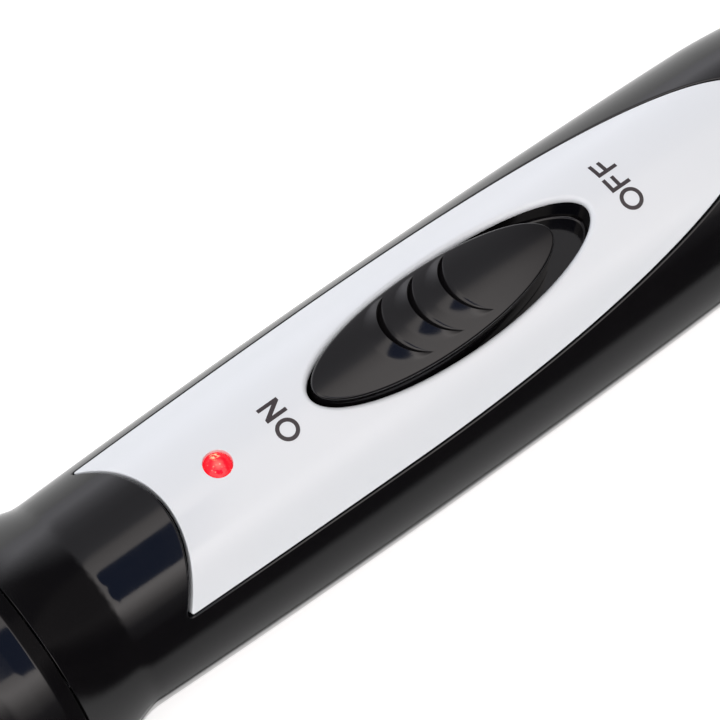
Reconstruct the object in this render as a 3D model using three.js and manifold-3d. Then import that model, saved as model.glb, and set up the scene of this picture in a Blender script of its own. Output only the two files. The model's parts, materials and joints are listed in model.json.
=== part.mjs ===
// Automatic hair curler: a round two-shell handle with a sliding power switch and a motor that
// turns a heated barrel and its hair clip. Millimetres, +Z up, +X towards the cord end.
// In the handle's own frame x = 0 is the middle of the power switch and the X axis is the
// barrel's axis. The last lines move the whole object so that its origin is the middle of
// its box, on the surface that it rests on.
import * as THREE from 'three';
import { mergeVertices } from 'three/addons/utils/BufferGeometryUtils.js';
import Module from 'manifold-3d';

const wasm = await Module();
wasm.setup();

// ---------- driving dimensions ----------
const GAP = 0.3; // between touching pieces
const RUNNING = 0.08; // radial clearance of a turning fit
const AROUND = 32; // facets round the handle

const HANDLE_FRONT = -74; // shells meet the guard here
const HANDLE_REAR = 80;
const HANDLE_R = 17.5; // at the switch
const WALL = 3.0;
const FRONT_BORE_R = 13.2;
const REAR_ROUND = 56; // the rear end starts to round in
const REAR_R = 11.5; // at the flat rear end
const FLARE_START = -61.9; // the shells open out towards the guard
const FLARE_SLOPE = 0.2;
const FLARE_CURVE = 0.022;
const REST_Z = -18; // flat cut under the guard that stops the curler rolling

const PANEL_T = 1.6; // white top panel
const PANEL_ANGLE = 51.6 * Math.PI / 180; // half of the arc that the panel covers
const PANEL_TAPER_X = -15.1; // behind this the panel narrows to a rounded tip
const PANEL_TAPER_LENGTH = 72.2;
const TONGUE_R = 18.3; // round black tongue that bites into the panel's front
const TONGUE_X = -48.9;

const WELL_A = 24.46; // opening for the slider, an ellipse
const WELL_B = 7.44;
const WELL_FLOOR = 12.6;
const SLIDER_A = 20.8;
const SLIDER_B = 6.6;
const SLIDER_X = -3.1; // in the ON position
const SLIDER_TOP = 18.9;
const SLIDE_TRAVEL = 6.6;
const LED_X = -40.1;
const LED_R = 2.05;

const GUARD_FRONT = -85;
const GUARD_R = 22.6;
const GUARD_SCREW_R = 15.6;

const AXIS_OFFSET = 7.5; // spindle to idler
const GEAR_MODULE = 0.5;
const PRESSURE_ANGLE = 20 * Math.PI / 180;
const BACKLASH = 0.07; // taken off each tooth flank
const DRIVE_TEETH = 20;
const IDLER_SMALL_TEETH = 10;
const IDLER_BIG_TEETH = 18;
const PINION_TEETH = 12;
const SPINDLE_R = 3.2;

const BASE_REAR = GUARD_FRONT - 0.6; // heat-shield collar that turns with the barrel
const BARREL_R = 12.5;
const BARREL_BORE_R = 11.7;
const BARREL_REAR = BASE_REAR - 7.7;
const BARREL_LENGTH = 146;
const BARREL_FRONT = BARREL_REAR - BARREL_LENGTH;
const TIP_LENGTH = 22;
const TIP_FRONT = BARREL_FRONT - TIP_LENGTH;
const HEATER_LENGTH = 84;
const HEATER_MIDDLE = BARREL_REAR - 76;

const CLIP_PIN_X = BARREL_REAR - 22.7;
const CLIP_PIN_Z = 16;
const SPOON_REAR = CLIP_PIN_X - 8;
const SPOON_FRONT = SPOON_REAR - 109;
const CLIP_RIVETS = [CLIP_PIN_X - 18, CLIP_PIN_X - 11.5];
const RIVET_HEADS = [15.9, 16.5]; // undersides of their heads, on the sloping lever

const SWIVEL_REAR = 94;
const CORD_BORE_R = 3.4;

// ---------- materials ----------
const finish = (color, roughness, metalness = 0) =>
  new THREE.MeshStandardMaterial({ color, roughness, metalness });
const glossBlack = () => finish(0x17161a, 0.12);
const mattBlack = () => finish(0x1d1c1e, 0.55);
const glossWhite = () => finish(0xe6e9ef, 0.15);
const redLens = () => finish(0xff2a35, 0.1);
const steel = () => finish(0xb9bcc0, 0.25, 1);
const darkSteel = () => finish(0x77797d, 0.4, 1);
const ceramicGrey = () => finish(0x6f6a6c, 0.3, 0.6);
const aluminium = () => finish(0xc8cacd, 0.35, 1);
const brass = () => finish(0xc9a14a, 0.3, 1);
const bronze = () => finish(0x9a6b3c, 0.45, 1);
const carbon = () => finish(0x2b2b2d, 0.7);
const boardGreen = () => finish(0x1f6b45, 0.5);
const nylon = () => finish(0xe9e4d4, 0.5);
const ceramicWhite = () => finish(0xf2f0ea, 0.6);

// ---------- solids ----------
function solid(geometry) {
  geometry.deleteAttribute('normal');
  geometry.deleteAttribute('uv');
  const merged = mergeVertices(geometry);
  const corners = merged.getIndex().array;
  const kept = [];
  for (let i = 0; i < corners.length; i += 3) {
    const [a, b, c] = corners.slice(i, i + 3);
    if (a !== b && b !== c && c !== a) kept.push(a, b, c);
  }
  const mesh = new wasm.Mesh({
    numProp: 3,
    vertProperties: Float32Array.from(merged.getAttribute('position').array),
    triVerts: Uint32Array.from(kept),
  });
  return new wasm.Manifold(mesh);
}

function geometryOf(body) {
  const mesh = body.getMesh();
  const geometry = new THREE.BufferGeometry();
  geometry.setAttribute('position', new THREE.BufferAttribute(mesh.vertProperties, 3));
  geometry.setIndex(new THREE.BufferAttribute(mesh.triVerts, 1));
  geometry.computeVertexNormals();
  return geometry;
}

const join = (first, ...others) => others.reduce((sum, other) => sum.add(other), first);
const cut = (first, ...others) => others.reduce((rest, other) => rest.subtract(other), first);

function box(x0, x1, y0, y1, z0, z1) {
  const geometry = new THREE.BoxGeometry(x1 - x0, y1 - y0, z1 - z0);
  return solid(geometry.translate((x0 + x1) / 2, (y0 + y1) / 2, (z0 + z1) / 2));
}

// An outline of [along, radius] points, turned about the X axis. It starts and ends on the
// axis or closes on itself.
function turned(outline, around = AROUND) {
  const points = outline.map(([along, radius]) => new THREE.Vector2(radius, along));
  return solid(new THREE.LatheGeometry(points, around).rotateZ(-Math.PI / 2));
}

function ring(x0, x1, inner, outer, around = 20) {
  return turned([[x0, inner], [x0, outer], [x1, outer], [x1, inner], [x0, inner]], around);
}

function rod(x0, x1, radius, around = 16) {
  return turned([[x0, 0], [x0, radius], [x1, radius], [x1, 0]], around);
}

const moved = (body, x, y, z) => body.translate([x, y, z]);

// The same rod along Z or Y, given by its two ends.
function rodZ(x, y, z0, z1, radius, around = 16) {
  const geometry = new THREE.CylinderGeometry(radius, radius, z1 - z0, around);
  return solid(geometry.rotateX(Math.PI / 2).translate(x, y, (z0 + z1) / 2));
}

function rodY(x, z, y0, y1, radius, around = 16) {
  const geometry = new THREE.CylinderGeometry(radius, radius, y1 - y0, around);
  return solid(geometry.translate(x, (y0 + y1) / 2, z));
}

function prismZ(shape, z0, z1, curveSegments = 24) {
  const depth = z1 - z0;
  const geometry = new THREE.ExtrudeGeometry(shape, { depth, bevelEnabled: false, curveSegments });
  return solid(geometry.translate(0, 0, z0));
}

// A shape drawn in (x, z), as thick as y0 to y1.
function prismY(shape, y0, y1) {
  const geometry = new THREE.ExtrudeGeometry(shape, { depth: y1 - y0, bevelEnabled: false });
  return solid(geometry.rotateX(Math.PI / 2).translate(0, y1, 0));
}

// A shape drawn in (y, z), as long as x0 to x1.
function prismX(shape, x0, x1) {
  const geometry = new THREE.ExtrudeGeometry(shape, { depth: x1 - x0, bevelEnabled: false });
  const turn = new THREE.Matrix4().makeBasis(
    new THREE.Vector3(0, 1, 0), new THREE.Vector3(0, 0, 1), new THREE.Vector3(1, 0, 0));
  return solid(geometry.applyMatrix4(turn).translate(x0, 0, 0));
}

function polygon(points) {
  return new THREE.Shape(points.map(([a, b]) => new THREE.Vector2(a, b)));
}

function ellipse(x, a, b, z0, z1, curveSegments = 18) {
  const shape = new THREE.Shape();
  shape.absellipse(x, 0, a, b, 0, 2 * Math.PI);
  return prismZ(shape, z0, z1, curveSegments);
}

function roundedRectangle(x0, x1, y0, y1, radius) {
  const shape = new THREE.Shape();
  shape.absarc(x1 - radius, y1 - radius, radius, 0, Math.PI / 2);
  shape.absarc(x0 + radius, y1 - radius, radius, Math.PI / 2, Math.PI);
  shape.absarc(x0 + radius, y0 + radius, radius, Math.PI, 1.5 * Math.PI);
  shape.absarc(x1 - radius, y0 + radius, radius, 1.5 * Math.PI, 2 * Math.PI);
  return shape;
}

// A wire bent into a coil along +Z.
function coil(x, y, z0, z1, radius, wire, turns) {
  class Helix extends THREE.Curve {
    getPoint(t) {
      const angle = 2 * Math.PI * turns * t;
      const z = z0 + wire + (z1 - z0 - 2 * wire) * t;
      return new THREE.Vector3(x + radius * Math.cos(angle), y + radius * Math.sin(angle), z);
    }
  }
  const section = new THREE.Shape().absarc(0, 0, wire, 0, 2 * Math.PI);
  const steps = Math.round(turns * 8);
  const sweep = { steps, bevelEnabled: false, extrudePath: new Helix(), curveSegments: 2 };
  return solid(new THREE.ExtrudeGeometry(section, sweep));
}

// ---------- the handle's surface ----------
function handleRadius(x) {
  const t = x / 50;
  let radius = HANDLE_R + 0.16 * t - 0.68 * t * t;
  if (x < FLARE_START) {
    const d = FLARE_START - x;
    radius += FLARE_SLOPE * d * (1 - Math.exp(-d)) + FLARE_CURVE * d * d;
  }
  if (x > REAR_ROUND) {
    const s = (x - REAR_ROUND) / (HANDLE_REAR - REAR_ROUND);
    radius = REAR_R + (radius - REAR_R) * Math.sqrt(1 - s * s);
  }
  return radius;
}

// Stations along the handle: closer together where its outline bends most.
function stations(from, to) {
  const all = [];
  for (let x = HANDLE_FRONT; x < -60; x += 4) all.push(x);
  for (let x = -59; x < REAR_ROUND; x += 19) all.push(x);
  for (let i = 0; i <= 5; i += 1) {
    all.push(REAR_ROUND + (HANDLE_REAR - REAR_ROUND) * Math.sin(i / 5 * Math.PI / 2));
  }
  return [from, ...all.filter((x) => x > from + 0.5 && x < to - 0.5), to];
}

// Everything between two depths under the handle's surface.
function surfaceLayer(from, to, outerDepth, innerDepth) {
  const along = stations(from, to);
  const outer = along.map((x) => [x, handleRadius(x) - outerDepth]);
  const inner = along.map((x) => [x, handleRadius(x) - innerDepth]).reverse();
  return turned([...outer, ...inner, outer[0]]);
}

// The panel's outline seen from above, grown by a margin.
function panelOutline(margin) {
  const side = [];
  const front = TONGUE_X - 11;
  for (let x = front; x < PANEL_TAPER_X; x += 11) {
    side.push([x, handleRadius(x) * Math.sin(PANEL_ANGLE) + margin]);
  }
  for (let i = 0; i <= 12; i += 1) {
    const turn = i / 12 * Math.PI / 2;
    const x = PANEL_TAPER_X + (PANEL_TAPER_LENGTH + margin) * Math.sin(turn);
    const arc = PANEL_ANGLE * Math.cos(turn);
    side.push([x, handleRadius(x) * Math.sin(arc) + margin * Math.cos(turn)]);
  }
  const otherSide = side.slice(0, -1).map(([x, y]) => [x, -y]).reverse();
  return polygon([...side, ...otherSide].reverse());
}

const tongue = (radius) => rodZ(TONGUE_X - TONGUE_R, 0, 0, 30, radius, 60);
const panelPocket = () => cut(prismZ(panelOutline(GAP), 4, 30), tongue(TONGUE_R - GAP));

// ---------- handle shells ----------
function guardScrewPlaces() {
  return [45, 135, 225, 315].map((degrees) => {
    const angle = degrees * Math.PI / 180;
    return [GUARD_SCREW_R * Math.cos(angle), GUARD_SCREW_R * Math.sin(angle)];
  });
}

const HANDLE_SCREWS = [31, 60];
const SWIVEL_FLANGE = [66.8, 70.5];

function wholeShell() {
  const outside = stations(HANDLE_FRONT, HANDLE_REAR).map((x) => [x, handleRadius(x)]);
  const inside = [
    [HANDLE_REAR, 8.3], [71.2, 8.3], [71.2, 10.2], [66, 10.2], [66, 12],
    [54, handleRadius(54) - WALL], [30, handleRadius(30) - WALL], [0, handleRadius(0) - WALL],
    [-30, handleRadius(-30) - WALL], [-50, handleRadius(-50) - WALL], [-58, FRONT_BORE_R],
    [HANDLE_FRONT, FRONT_BORE_R],
  ];
  let shell = turned([...outside, ...inside, outside[0]]);
  for (const [y, z] of guardScrewPlaces()) {
    shell = cut(shell, moved(rod(HANDLE_FRONT - 1, -68, 1.35, 12), 0, y, z));
  }
  return shell;
}

function upperShell() {
  let shell = wholeShell().intersect(box(-90, 90, -30, 30, GAP / 2, 30));
  const pocket = surfaceLayer(-62, 62, -1, PANEL_T + GAP);
  shell = cut(shell, pocket.intersect(panelPocket()));
  for (const x of HANDLE_SCREWS) {
    shell = join(shell, rodZ(x, 0, GAP / 2, 14.6, 3.4));
    shell = cut(shell, rodZ(x, 0, 0, 8, 1.35, 12));
  }
  shell = cut(shell, ellipse(0, WELL_A + 1.5, WELL_B + 1.5, 10, 30));
  return cut(shell, rodZ(LED_X, 0, 10, 30, LED_R + 0.35, 24));
}

const TRIGGER = { front: -49.5, rear: -26.5, half: 5, proud: 0.6, pivotX: -22.5, pivotZ: -11.8 };

function lowerShell() {
  let shell = wholeShell().intersect(box(-90, 90, -30, 30, REST_Z, -GAP / 2));
  for (const x of HANDLE_SCREWS) {
    shell = join(shell, rodZ(x, 0, -15, -GAP / 2, 3.6));
    shell = cut(shell, rodZ(x, 0, -20, -12, 2.8), rodZ(x, 0, -20, 0, 1.35, 12));
  }
  for (const side of [-1, 1]) {
    const [y0, y1] = [4.2 * side, 6.4 * side].sort((a, b) => a - b);
    shell = join(shell, box(-24.7, -20.3, y0, y1, -14.6, -9.6));
  }
  shell = cut(shell, rodY(TRIGGER.pivotX, TRIGGER.pivotZ, -7.5, 7.5, 1.15));
  const { front, rear, half } = TRIGGER;
  const hole = roundedRectangle(front - 0.5, rear + 0.4, -half - 0.4, half + 0.4, 2.4);
  return cut(shell, prismZ(hole, -20, -8, 6));
}

function topPanel() {
  let panel = surfaceLayer(-60, 60, 0, PANEL_T);
  panel = panel.intersect(cut(prismZ(panelOutline(0), 4, 30), tongue(TONGUE_R)));
  panel = cut(panel, ellipse(0, WELL_A, WELL_B, 5, 30));
  return cut(panel, rodZ(LED_X, 0, 5, 30, LED_R + 0.2, 24));
}

function frontGuard() {
  const outline = [
    [GUARD_FRONT, 5.15], [-71.2, 5.15], [-71.2, 8.2], [-79, 8.2], [-79, 10.6], [-70.2, 10.6],
    [-70.2, 12.9], [HANDLE_FRONT - GAP, 12.9], [HANDLE_FRONT - GAP, handleRadius(HANDLE_FRONT)],
    [-76.4, GUARD_R - 0.1], [-79, GUARD_R], [-82, GUARD_R - 0.4], [-84, GUARD_R - 1.5],
    [GUARD_FRONT, GUARD_R - 3.2], [GUARD_FRONT, 5.15],
  ];
  let guard = turned(outline.reverse()).intersect(box(-90, -60, -30, 30, REST_Z, 30));
  for (const [y, z] of guardScrewPlaces()) {
    const shank = moved(rod(GUARD_FRONT - 1, -70, 1.35, 12), 0, y, z);
    guard = cut(guard, shank, moved(rod(GUARD_FRONT - 1, -80, 2.7), 0, y, z));
  }
  return guard;
}

// A pan-head screw along +X: head first, then shank.
function screwX(headFront, headLength, headR, shankEnd, shankR) {
  const neck = headFront + headLength;
  const outline = [
    [headFront, 0], [headFront, headR * 0.7], [headFront + headLength * 0.4, headR],
    [neck, headR], [neck, shankR], [shankEnd - 1, shankR], [shankEnd, 0.2], [shankEnd, 0],
  ];
  const slot = box(headFront - 1, headFront + headLength * 0.5, -headR, headR, -0.3, 0.3);
  return cut(turned(outline, 12), slot);
}

// ---------- power switch ----------
function switchWell() {
  const cup = cut(
    ellipse(0, WELL_A + 1.2, WELL_B + 1.2, 11.4, 20),
    ellipse(0, WELL_A + 0.2, WELL_B + 0.2, WELL_FLOOR, 21),
    prismZ(roundedRectangle(-2.6, 2.6 + SLIDE_TRAVEL, -1.7, 1.7, 0.8), 10, 13, 4));
  return cup.intersect(surfaceLayer(-40, 40, PANEL_T + GAP, 15));
}

function powerSlider() {
  const crown = turned([
    [-30, 0], [-30, SLIDER_TOP - 1.3], [-24, SLIDER_TOP - 0.9], [-14, SLIDER_TOP - 0.25],
    [-4, SLIDER_TOP], [6, SLIDER_TOP - 0.1], [18, SLIDER_TOP - 0.7], [24, SLIDER_TOP - 1],
    [24, 0],
  ], 96);
  const cap = ellipse(SLIDER_X, SLIDER_A, SLIDER_B, WELL_FLOOR + GAP, 22).intersect(crown);
  return join(cap, box(-2.2, 2.2, -1.3, 1.3, 10.2, 14));
}

const slideSwitchBody = () => cut(
  box(-5, 12, -3.4, 3.4, 8.7, 11.1),
  box(-1.6, 1.6 + SLIDE_TRAVEL, -1.2, 1.2, 9.2, 12),
  box(-2.6, 2.6 + SLIDE_TRAVEL, -1.7, 1.7, 10, 12));
const switchKnob = () => box(-1.2, 1.2, -0.9, 0.9, 9.3, 10 - 0.1);
const circuitBoard = () => cut(
  prismZ(roundedRectangle(-48, 14, -8, 8, 1), 7, 8.4, 3),
  rodZ(-30, 5.5, 6, 9, 1, 12), rodZ(10, -5.5, 6, 9, 1, 12));

// ---------- indicator ----------
function ledLens() {
  const window = rodZ(LED_X, 0, 14.6, 20, LED_R, 24);
  return window.intersect(surfaceLayer(-44, -36, -0.05, 2.4));
}

function ledLamp() {
  const geometry = new THREE.SphereGeometry(1.5, 12, 6).translate(LED_X, 0, 12.6);
  const dome = solid(geometry);
  return join(dome, rodZ(LED_X, 0, 9, 12.6, 1.5, 12), rodZ(LED_X, 0, 8.7, 10, 1.9, 12));
}

// ---------- rotation trigger ----------
function rotationTrigger() {
  const { front, rear, half, proud, pivotX, pivotZ } = TRIGGER;
  const plate = surfaceLayer(front - 4, rear + 4, -proud, 2.6)
    .intersect(prismZ(roundedRectangle(front, rear, -half, half, 2), -22, -5, 6));
  const arm = join(
    box(-30, -27, -3, 3, -15, -10),
    box(-30, pivotX, -3, 3, -13, -10),
    rodY(pivotX, pivotZ, -3, 3, 1.9, 24),
    box(-45.5, -43.5, -1.5, 1.5, -15, -13.2));
  return cut(join(plate, arm), rodY(pivotX, pivotZ, -4, 4, 1 + RUNNING));
}

const triggerPin = () => rodY(TRIGGER.pivotX, TRIGGER.pivotZ, -6.2, 6.2, 1);
const triggerSpring = () => coil(-39.1, 0, -14, -8.75, 1.35, 0.25, 4);
const microSwitch = () => join(
  box(-47, -41, -2.8, 2.8, -11.6, -8.75), box(-45.2, -43.8, -1, 1, -12, -11.4));

// ---------- gears ----------
// A spur gear along X with involute teeth. turn is the angle of the middle of one tooth.
function gear(teeth, x0, x1, turn) {
  const pitchR = GEAR_MODULE * teeth / 2;
  const baseR = pitchR * Math.cos(PRESSURE_ANGLE);
  const tipR = pitchR + 0.85 * GEAR_MODULE;
  const rootR = pitchR - 1.25 * GEAR_MODULE;
  const involute = (angle) => Math.tan(angle) - angle;
  const halfTooth = Math.PI / (2 * teeth) - BACKLASH / pitchR + involute(PRESSURE_ANGLE);
  const flank = [];
  for (let i = 0; i <= 2; i += 1) {
    const radius = baseR + (tipR - baseR) * i / 2;
    flank.push([radius, halfTooth - involute(Math.acos(baseR / radius))]);
  }
  const points = [];
  for (let tooth = 0; tooth < teeth; tooth += 1) {
    const middle = turn + tooth * 2 * Math.PI / teeth;
    const place = ([radius, angle], side) => {
      const a = middle + side * angle;
      points.push([radius * Math.cos(a), radius * Math.sin(a)]);
    };
    place([rootR, halfTooth + 0.02], -1);
    flank.forEach((point) => place(point, -1));
    [...flank].reverse().forEach((point) => place(point, 1));
    place([rootR, halfTooth + 0.02], 1);
  }
  return prismX(polygon(points), x0, x1);
}

const DRIVE_GEAR_X = [-48.5, -44.5];
const IDLER_GEAR_X = [-43.6, -40];

// The spindle's gear has a tooth towards the idler, and the idler a space towards it.
const driveGear = () => cut(
  gear(DRIVE_TEETH, ...DRIVE_GEAR_X, 0), rod(-60, -30, SPINDLE_R + 0.1));

function idlerGear() {
  const small = gear(IDLER_SMALL_TEETH, DRIVE_GEAR_X[0], IDLER_GEAR_X[0], Math.PI / IDLER_SMALL_TEETH
    + Math.PI);
  const big = gear(IDLER_BIG_TEETH, ...IDLER_GEAR_X, Math.PI + Math.PI / IDLER_BIG_TEETH);
  return moved(cut(join(small, big), rod(-60, -30, 1 + RUNNING)), 0, AXIS_OFFSET, 0);
}

const motorPinion = () => cut(gear(PINION_TEETH, ...IDLER_GEAR_X, 0), rod(-60, -30, 0.9, 16));
const idlerAxle = () => moved(rod(-53.5, -35.2, 1), 0, AXIS_OFFSET, 0);

function gearboxFrame() {
  const plates = join(rod(-54, -50.5, 12.2, 28), rod(-37, -35, 12.2, 28));
  const bridge = box(-51, -36, -6, 6, -8.4, -7.2);
  const whole = join(plates, bridge).intersect(box(-60, -30, -20, 20, -20, 6.4));
  return cut(
    whole,
    rod(-60, -50, 5.2),
    rod(-40, -30, 2.2),
    moved(rod(-60, -30, 1.15), 0, AXIS_OFFSET, 0));
}

// ---------- motor ----------
const MOTOR_REAR = 2;
const motorCan = () => join(ring(-34.7, MOTOR_REAR, 0.9, 6.5), ring(-36.8, -34, 0.9, 2));

function motorEndCap() {
  const tab = (y) => box(MOTOR_REAR + 2, MOTOR_REAR + 4.6, y - 0.4, y + 0.4, -1, 1);
  return join(ring(MOTOR_REAR + GAP, MOTOR_REAR + 2.6, 0.9, 6.2), tab(-4.2), tab(4.2));
}

const motorShaft = () => rod(-43.9, MOTOR_REAR + 2, 0.8 - RUNNING / 2);

// ---------- spindle and slip rings ----------
const spindle = () => ring(BARREL_REAR - 10.7, -43.95 - GAP, 1.9, SPINDLE_R);
const frontBush = () => turned([
  [GUARD_FRONT + 0.2, SPINDLE_R + RUNNING], [GUARD_FRONT + 0.2, 5], [-70.9, 5], [-70.9, 7],
  [-69.7, 7], [-69.7, SPINDLE_R + RUNNING], [GUARD_FRONT + 0.2, SPINDLE_R + RUNNING],
], 20);
const rearBush = () => ring(-54.2, -50.3, SPINDLE_R + RUNNING, 5);

const SLIP_RINGS = [[-66.5, -63.5], [-60.5, -57.5]];

function insulatingHub() {
  const outline = [[-68.8, SPINDLE_R + 0.15]];
  let x = -68.8;
  for (const [x0, x1] of SLIP_RINGS) {
    outline.push([x, 7], [x0 - 0.2, 7], [x0 - 0.2, 5], [x1 + 0.2, 5]);
    x = x1 + 0.2;
  }
  outline.push([x, 7], [-55.8, 7], [-55.8, SPINDLE_R + 0.15], outline[0]);
  return turned(outline, 20);
}

const slipRing = ([x0, x1]) => ring(x0, x1, 5.15, 6.2);

function brush([x0, x1]) {
  const carbonBlock = box(x0 + 0.3, x1 - 0.3, -9.6, -5.6, -1.2, 1.2);
  return cut(carbonBlock, rod(x0 - 1, x1 + 1, 6.2 + 2 * RUNNING, 24));
}

function brushHolder() {
  const pockets = SLIP_RINGS.map(([x0, x1]) => box(x0 + 0.1, x1 - 0.1, -20, -5, -1.4, 1.4));
  return cut(box(-68, -56, -11.8, -7.6, -3, 3), ...pockets);
}

function brushSpring([x0, x1]) {
  const leaf = polygon([
    [-12.4, -2.6], [-12.1, -2.6], [-12.1, -1.2], [-9.9, -0.3], [-9.9, 0.3], [-12.1, 1.2],
    [-12.1, 2.6], [-12.4, 2.6],
  ]);
  const middle = (x0 + x1) / 2;
  return prismX(leaf, middle - 1, middle + 1);
}

// ---------- barrel ----------
const barrelBase = () => turned([
  [0, SPINDLE_R + 0.15], [0, 15.6], [-1, 16.5], [-2.4, 16.6], [-6, 14.6], [-7.3, 13.6],
  [-7.4, 13.2], [-7.4, 11.4], [-18.4, 11.4], [-19.4, 10.7], [-19.4, 8.4], [-10, 8.4],
  [-10, SPINDLE_R + 0.15], [0, SPINDLE_R + 0.15],
].map(([x, radius]) => [BASE_REAR + x, radius]).reverse(), 24);
const barrelTube = () => ring(BARREL_FRONT, BARREL_REAR, BARREL_BORE_R, BARREL_R, 36);

// A hollow D-shaped bar between the heater plate and the tube; side is 1 above, -1 below.
function heatSpreader(side) {
  const half = (radius, flat) => {
    const edge = Math.asin(flat / radius);
    return new THREE.Shape().absarc(0, 0, radius, edge, Math.PI - edge);
  };
  const profile = half(11.4, 1.6);
  profile.holes.push(half(9.9, 3.1));
  const bar = prismX(profile, HEATER_MIDDLE - HEATER_LENGTH / 2, HEATER_MIDDLE + HEATER_LENGTH / 2);
  return side > 0 ? bar : bar.rotate([180, 0, 0]);
}

function heaterElement() {
  const half = HEATER_LENGTH / 2 - 4;
  return box(HEATER_MIDDLE - half, HEATER_MIDDLE + half, -8, 8, -1.3, 1.3);
}

// Outline measured from the tip's nose: a plug that fits in the tube, hollow behind its floor.
const coolTip = () => turned([
  [14, 1.6], [14, 4.6], [16, 10.1], [28, 10.1], [28, 11.4], [22 - GAP, 11.4], [22 - GAP, 12.9],
  [9, 12.7], [5.5, 11.9], [2.6, 10.2], [0.7, 7.6], [0, 4.6], [0, 3.3], [3, 3.3], [3, 1.6], [14, 1.6],
].map(([x, radius]) => [TIP_FRONT + x, radius]).reverse(), 24);
const tipScrew = () => screwX(TIP_FRONT + 0.9, 2, 3, TIP_FRONT + 20, 1.4);

// ---------- hair clip ----------
function clipBracket() {
  const saddle = cut(
    box(CLIP_PIN_X - 4, CLIP_PIN_X + 4, -7, 7, 10, 18.4),
    box(CLIP_PIN_X - 9, CLIP_PIN_X + 9, -5.3, 5.3, 14, 20),
    rod(CLIP_PIN_X - 9, CLIP_PIN_X + 9, BARREL_R + 0.2, 48));
  return cut(saddle, rodY(CLIP_PIN_X, CLIP_PIN_Z, -10, 10, 1.15));
}

const clipPin = () => rodY(CLIP_PIN_X, CLIP_PIN_Z, -7.6, 7.6, 1);
const clipSpring = () => coil(CLIP_PIN_X + 13, 0, BARREL_R + 0.4, 18.2, 2.2, 0.3, 4);

// A jaw that follows the barrel's round, wider at the hinge and rounded at its far end.
function clipSpoon() {
  const shape = new THREE.Shape();
  shape.moveTo(SPOON_REAR, -8.5);
  shape.lineTo(SPOON_REAR, 8.5);
  shape.lineTo(SPOON_REAR - 16, 9.4);
  shape.lineTo(SPOON_FRONT + 7.6, 7.6);
  shape.absarc(SPOON_FRONT + 7.6, 0, 7.6, Math.PI / 2, 1.5 * Math.PI);
  shape.lineTo(SPOON_REAR - 16, -9.4);
  shape.closePath();
  const jaw = ring(SPOON_FRONT - 2, SPOON_REAR + 2, BARREL_R + GAP, BARREL_R + GAP + 0.8, 72)
    .intersect(prismZ(shape, 5, 20, 8));
  return cut(jaw, ...CLIP_RIVETS.map((x) => rodZ(x, 0, 5, 20, 1.15, 12)));
}

function clipLever() {
  const outline = polygon([
    [-22, -2.4], [-22, -0.8], [-9, 0.4], [-3, 2], [0, 2.3], [3.5, 2.4], [12, 4.4], [20, 7.4],
    [23.4, 9.2], [24.6, 8.6], [20.4, 6.2], [12, 2.8], [6, 0.6], [2.4, -1.1], [0, -1.6],
    [-7, -1.6], [-8, -2.8],
  ].map(([x, z]) => [CLIP_PIN_X + x, CLIP_PIN_Z + z]));
  const strip = prismY(outline, -4.9, 4.9);
  const pad = rodZ(CLIP_PIN_X + 17, 0, 10, 30, 8, 32).intersect(prismY(outline, -9, 9));
  const lever = cut(
    join(strip, pad),
    rod(CLIP_PIN_X - 29, CLIP_PIN_X - 6, BARREL_R + 2 * GAP + 0.8, 72),
    rodY(CLIP_PIN_X, CLIP_PIN_Z, -10, 10, 1 + RUNNING));
  return cut(lever, ...CLIP_RIVETS.map((x) => rodZ(x, 0, 5, 20, 1.15, 12)));
}

const clipRivet = (x, head) => join(
  rodZ(x, 0, BARREL_R + 0.35, head + 0.1, 1, 12), rodZ(x, 0, head, head + 0.7, 1.6));

// ---------- cord gland ----------
const cordSwivel = () => turned([
  [SWIVEL_FLANGE[0], CORD_BORE_R], [SWIVEL_FLANGE[0], 9.6], [SWIVEL_FLANGE[1], 9.6],
  [SWIVEL_FLANGE[1] + 0.3, 8.3 - RUNNING], [HANDLE_REAR + 0.5, 8.3 - RUNNING],
  [HANDLE_REAR + 0.5, 9.9], [HANDLE_REAR + 2, 10.4], [84.5, 10.2], [89.5, 8.6],
  [SWIVEL_REAR - 0.6, 7.4], [SWIVEL_REAR, 6.8], [SWIVEL_REAR, CORD_BORE_R],
  [SWIVEL_FLANGE[0], CORD_BORE_R],
], 24);
const swivelWasher = () => ring(65.2, 66.4, 4.2, 9.8);

// ---------- assembly ----------
const curler = new THREE.Group();

function add(name, body, material) {
  const mesh = new THREE.Mesh(geometryOf(body), material);
  mesh.name = name;
  curler.add(mesh);
}

add('upper_shell', upperShell(), glossBlack());
add('lower_shell', lowerShell(), glossBlack());
add('top_panel', topPanel(), glossWhite());
add('front_guard', frontGuard(), glossBlack());
guardScrewPlaces().forEach(([y, z], i) => {
  add(`guard_screw_${i + 1}`, moved(screwX(-81.9, 1.7, 2.4, -68.4, 1.2), 0, y, z), steel());
});
HANDLE_SCREWS.forEach((x, i) => {
  const upright = screwX(0, 1.7, 2.5, 19.5, 1.2).rotate([0, -90, 0]);
  add(`handle_screw_${i + 1}`, moved(upright, x, 0, -13.9), steel());
});

add('switch_well', switchWell(), glossBlack());
add('power_slider', powerSlider(), glossBlack());
add('switch_knob', switchKnob(), nylon());
add('slide_switch_body', slideSwitchBody(), mattBlack());
add('circuit_board', circuitBoard(), boardGreen());
add('led_lens', ledLens(), redLens());
add('led_lamp', ledLamp(), redLens());

add('rotation_trigger', rotationTrigger(), mattBlack());
add('trigger_pin', triggerPin(), steel());
add('trigger_spring', triggerSpring(), steel());
add('micro_switch', microSwitch(), mattBlack());

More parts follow.
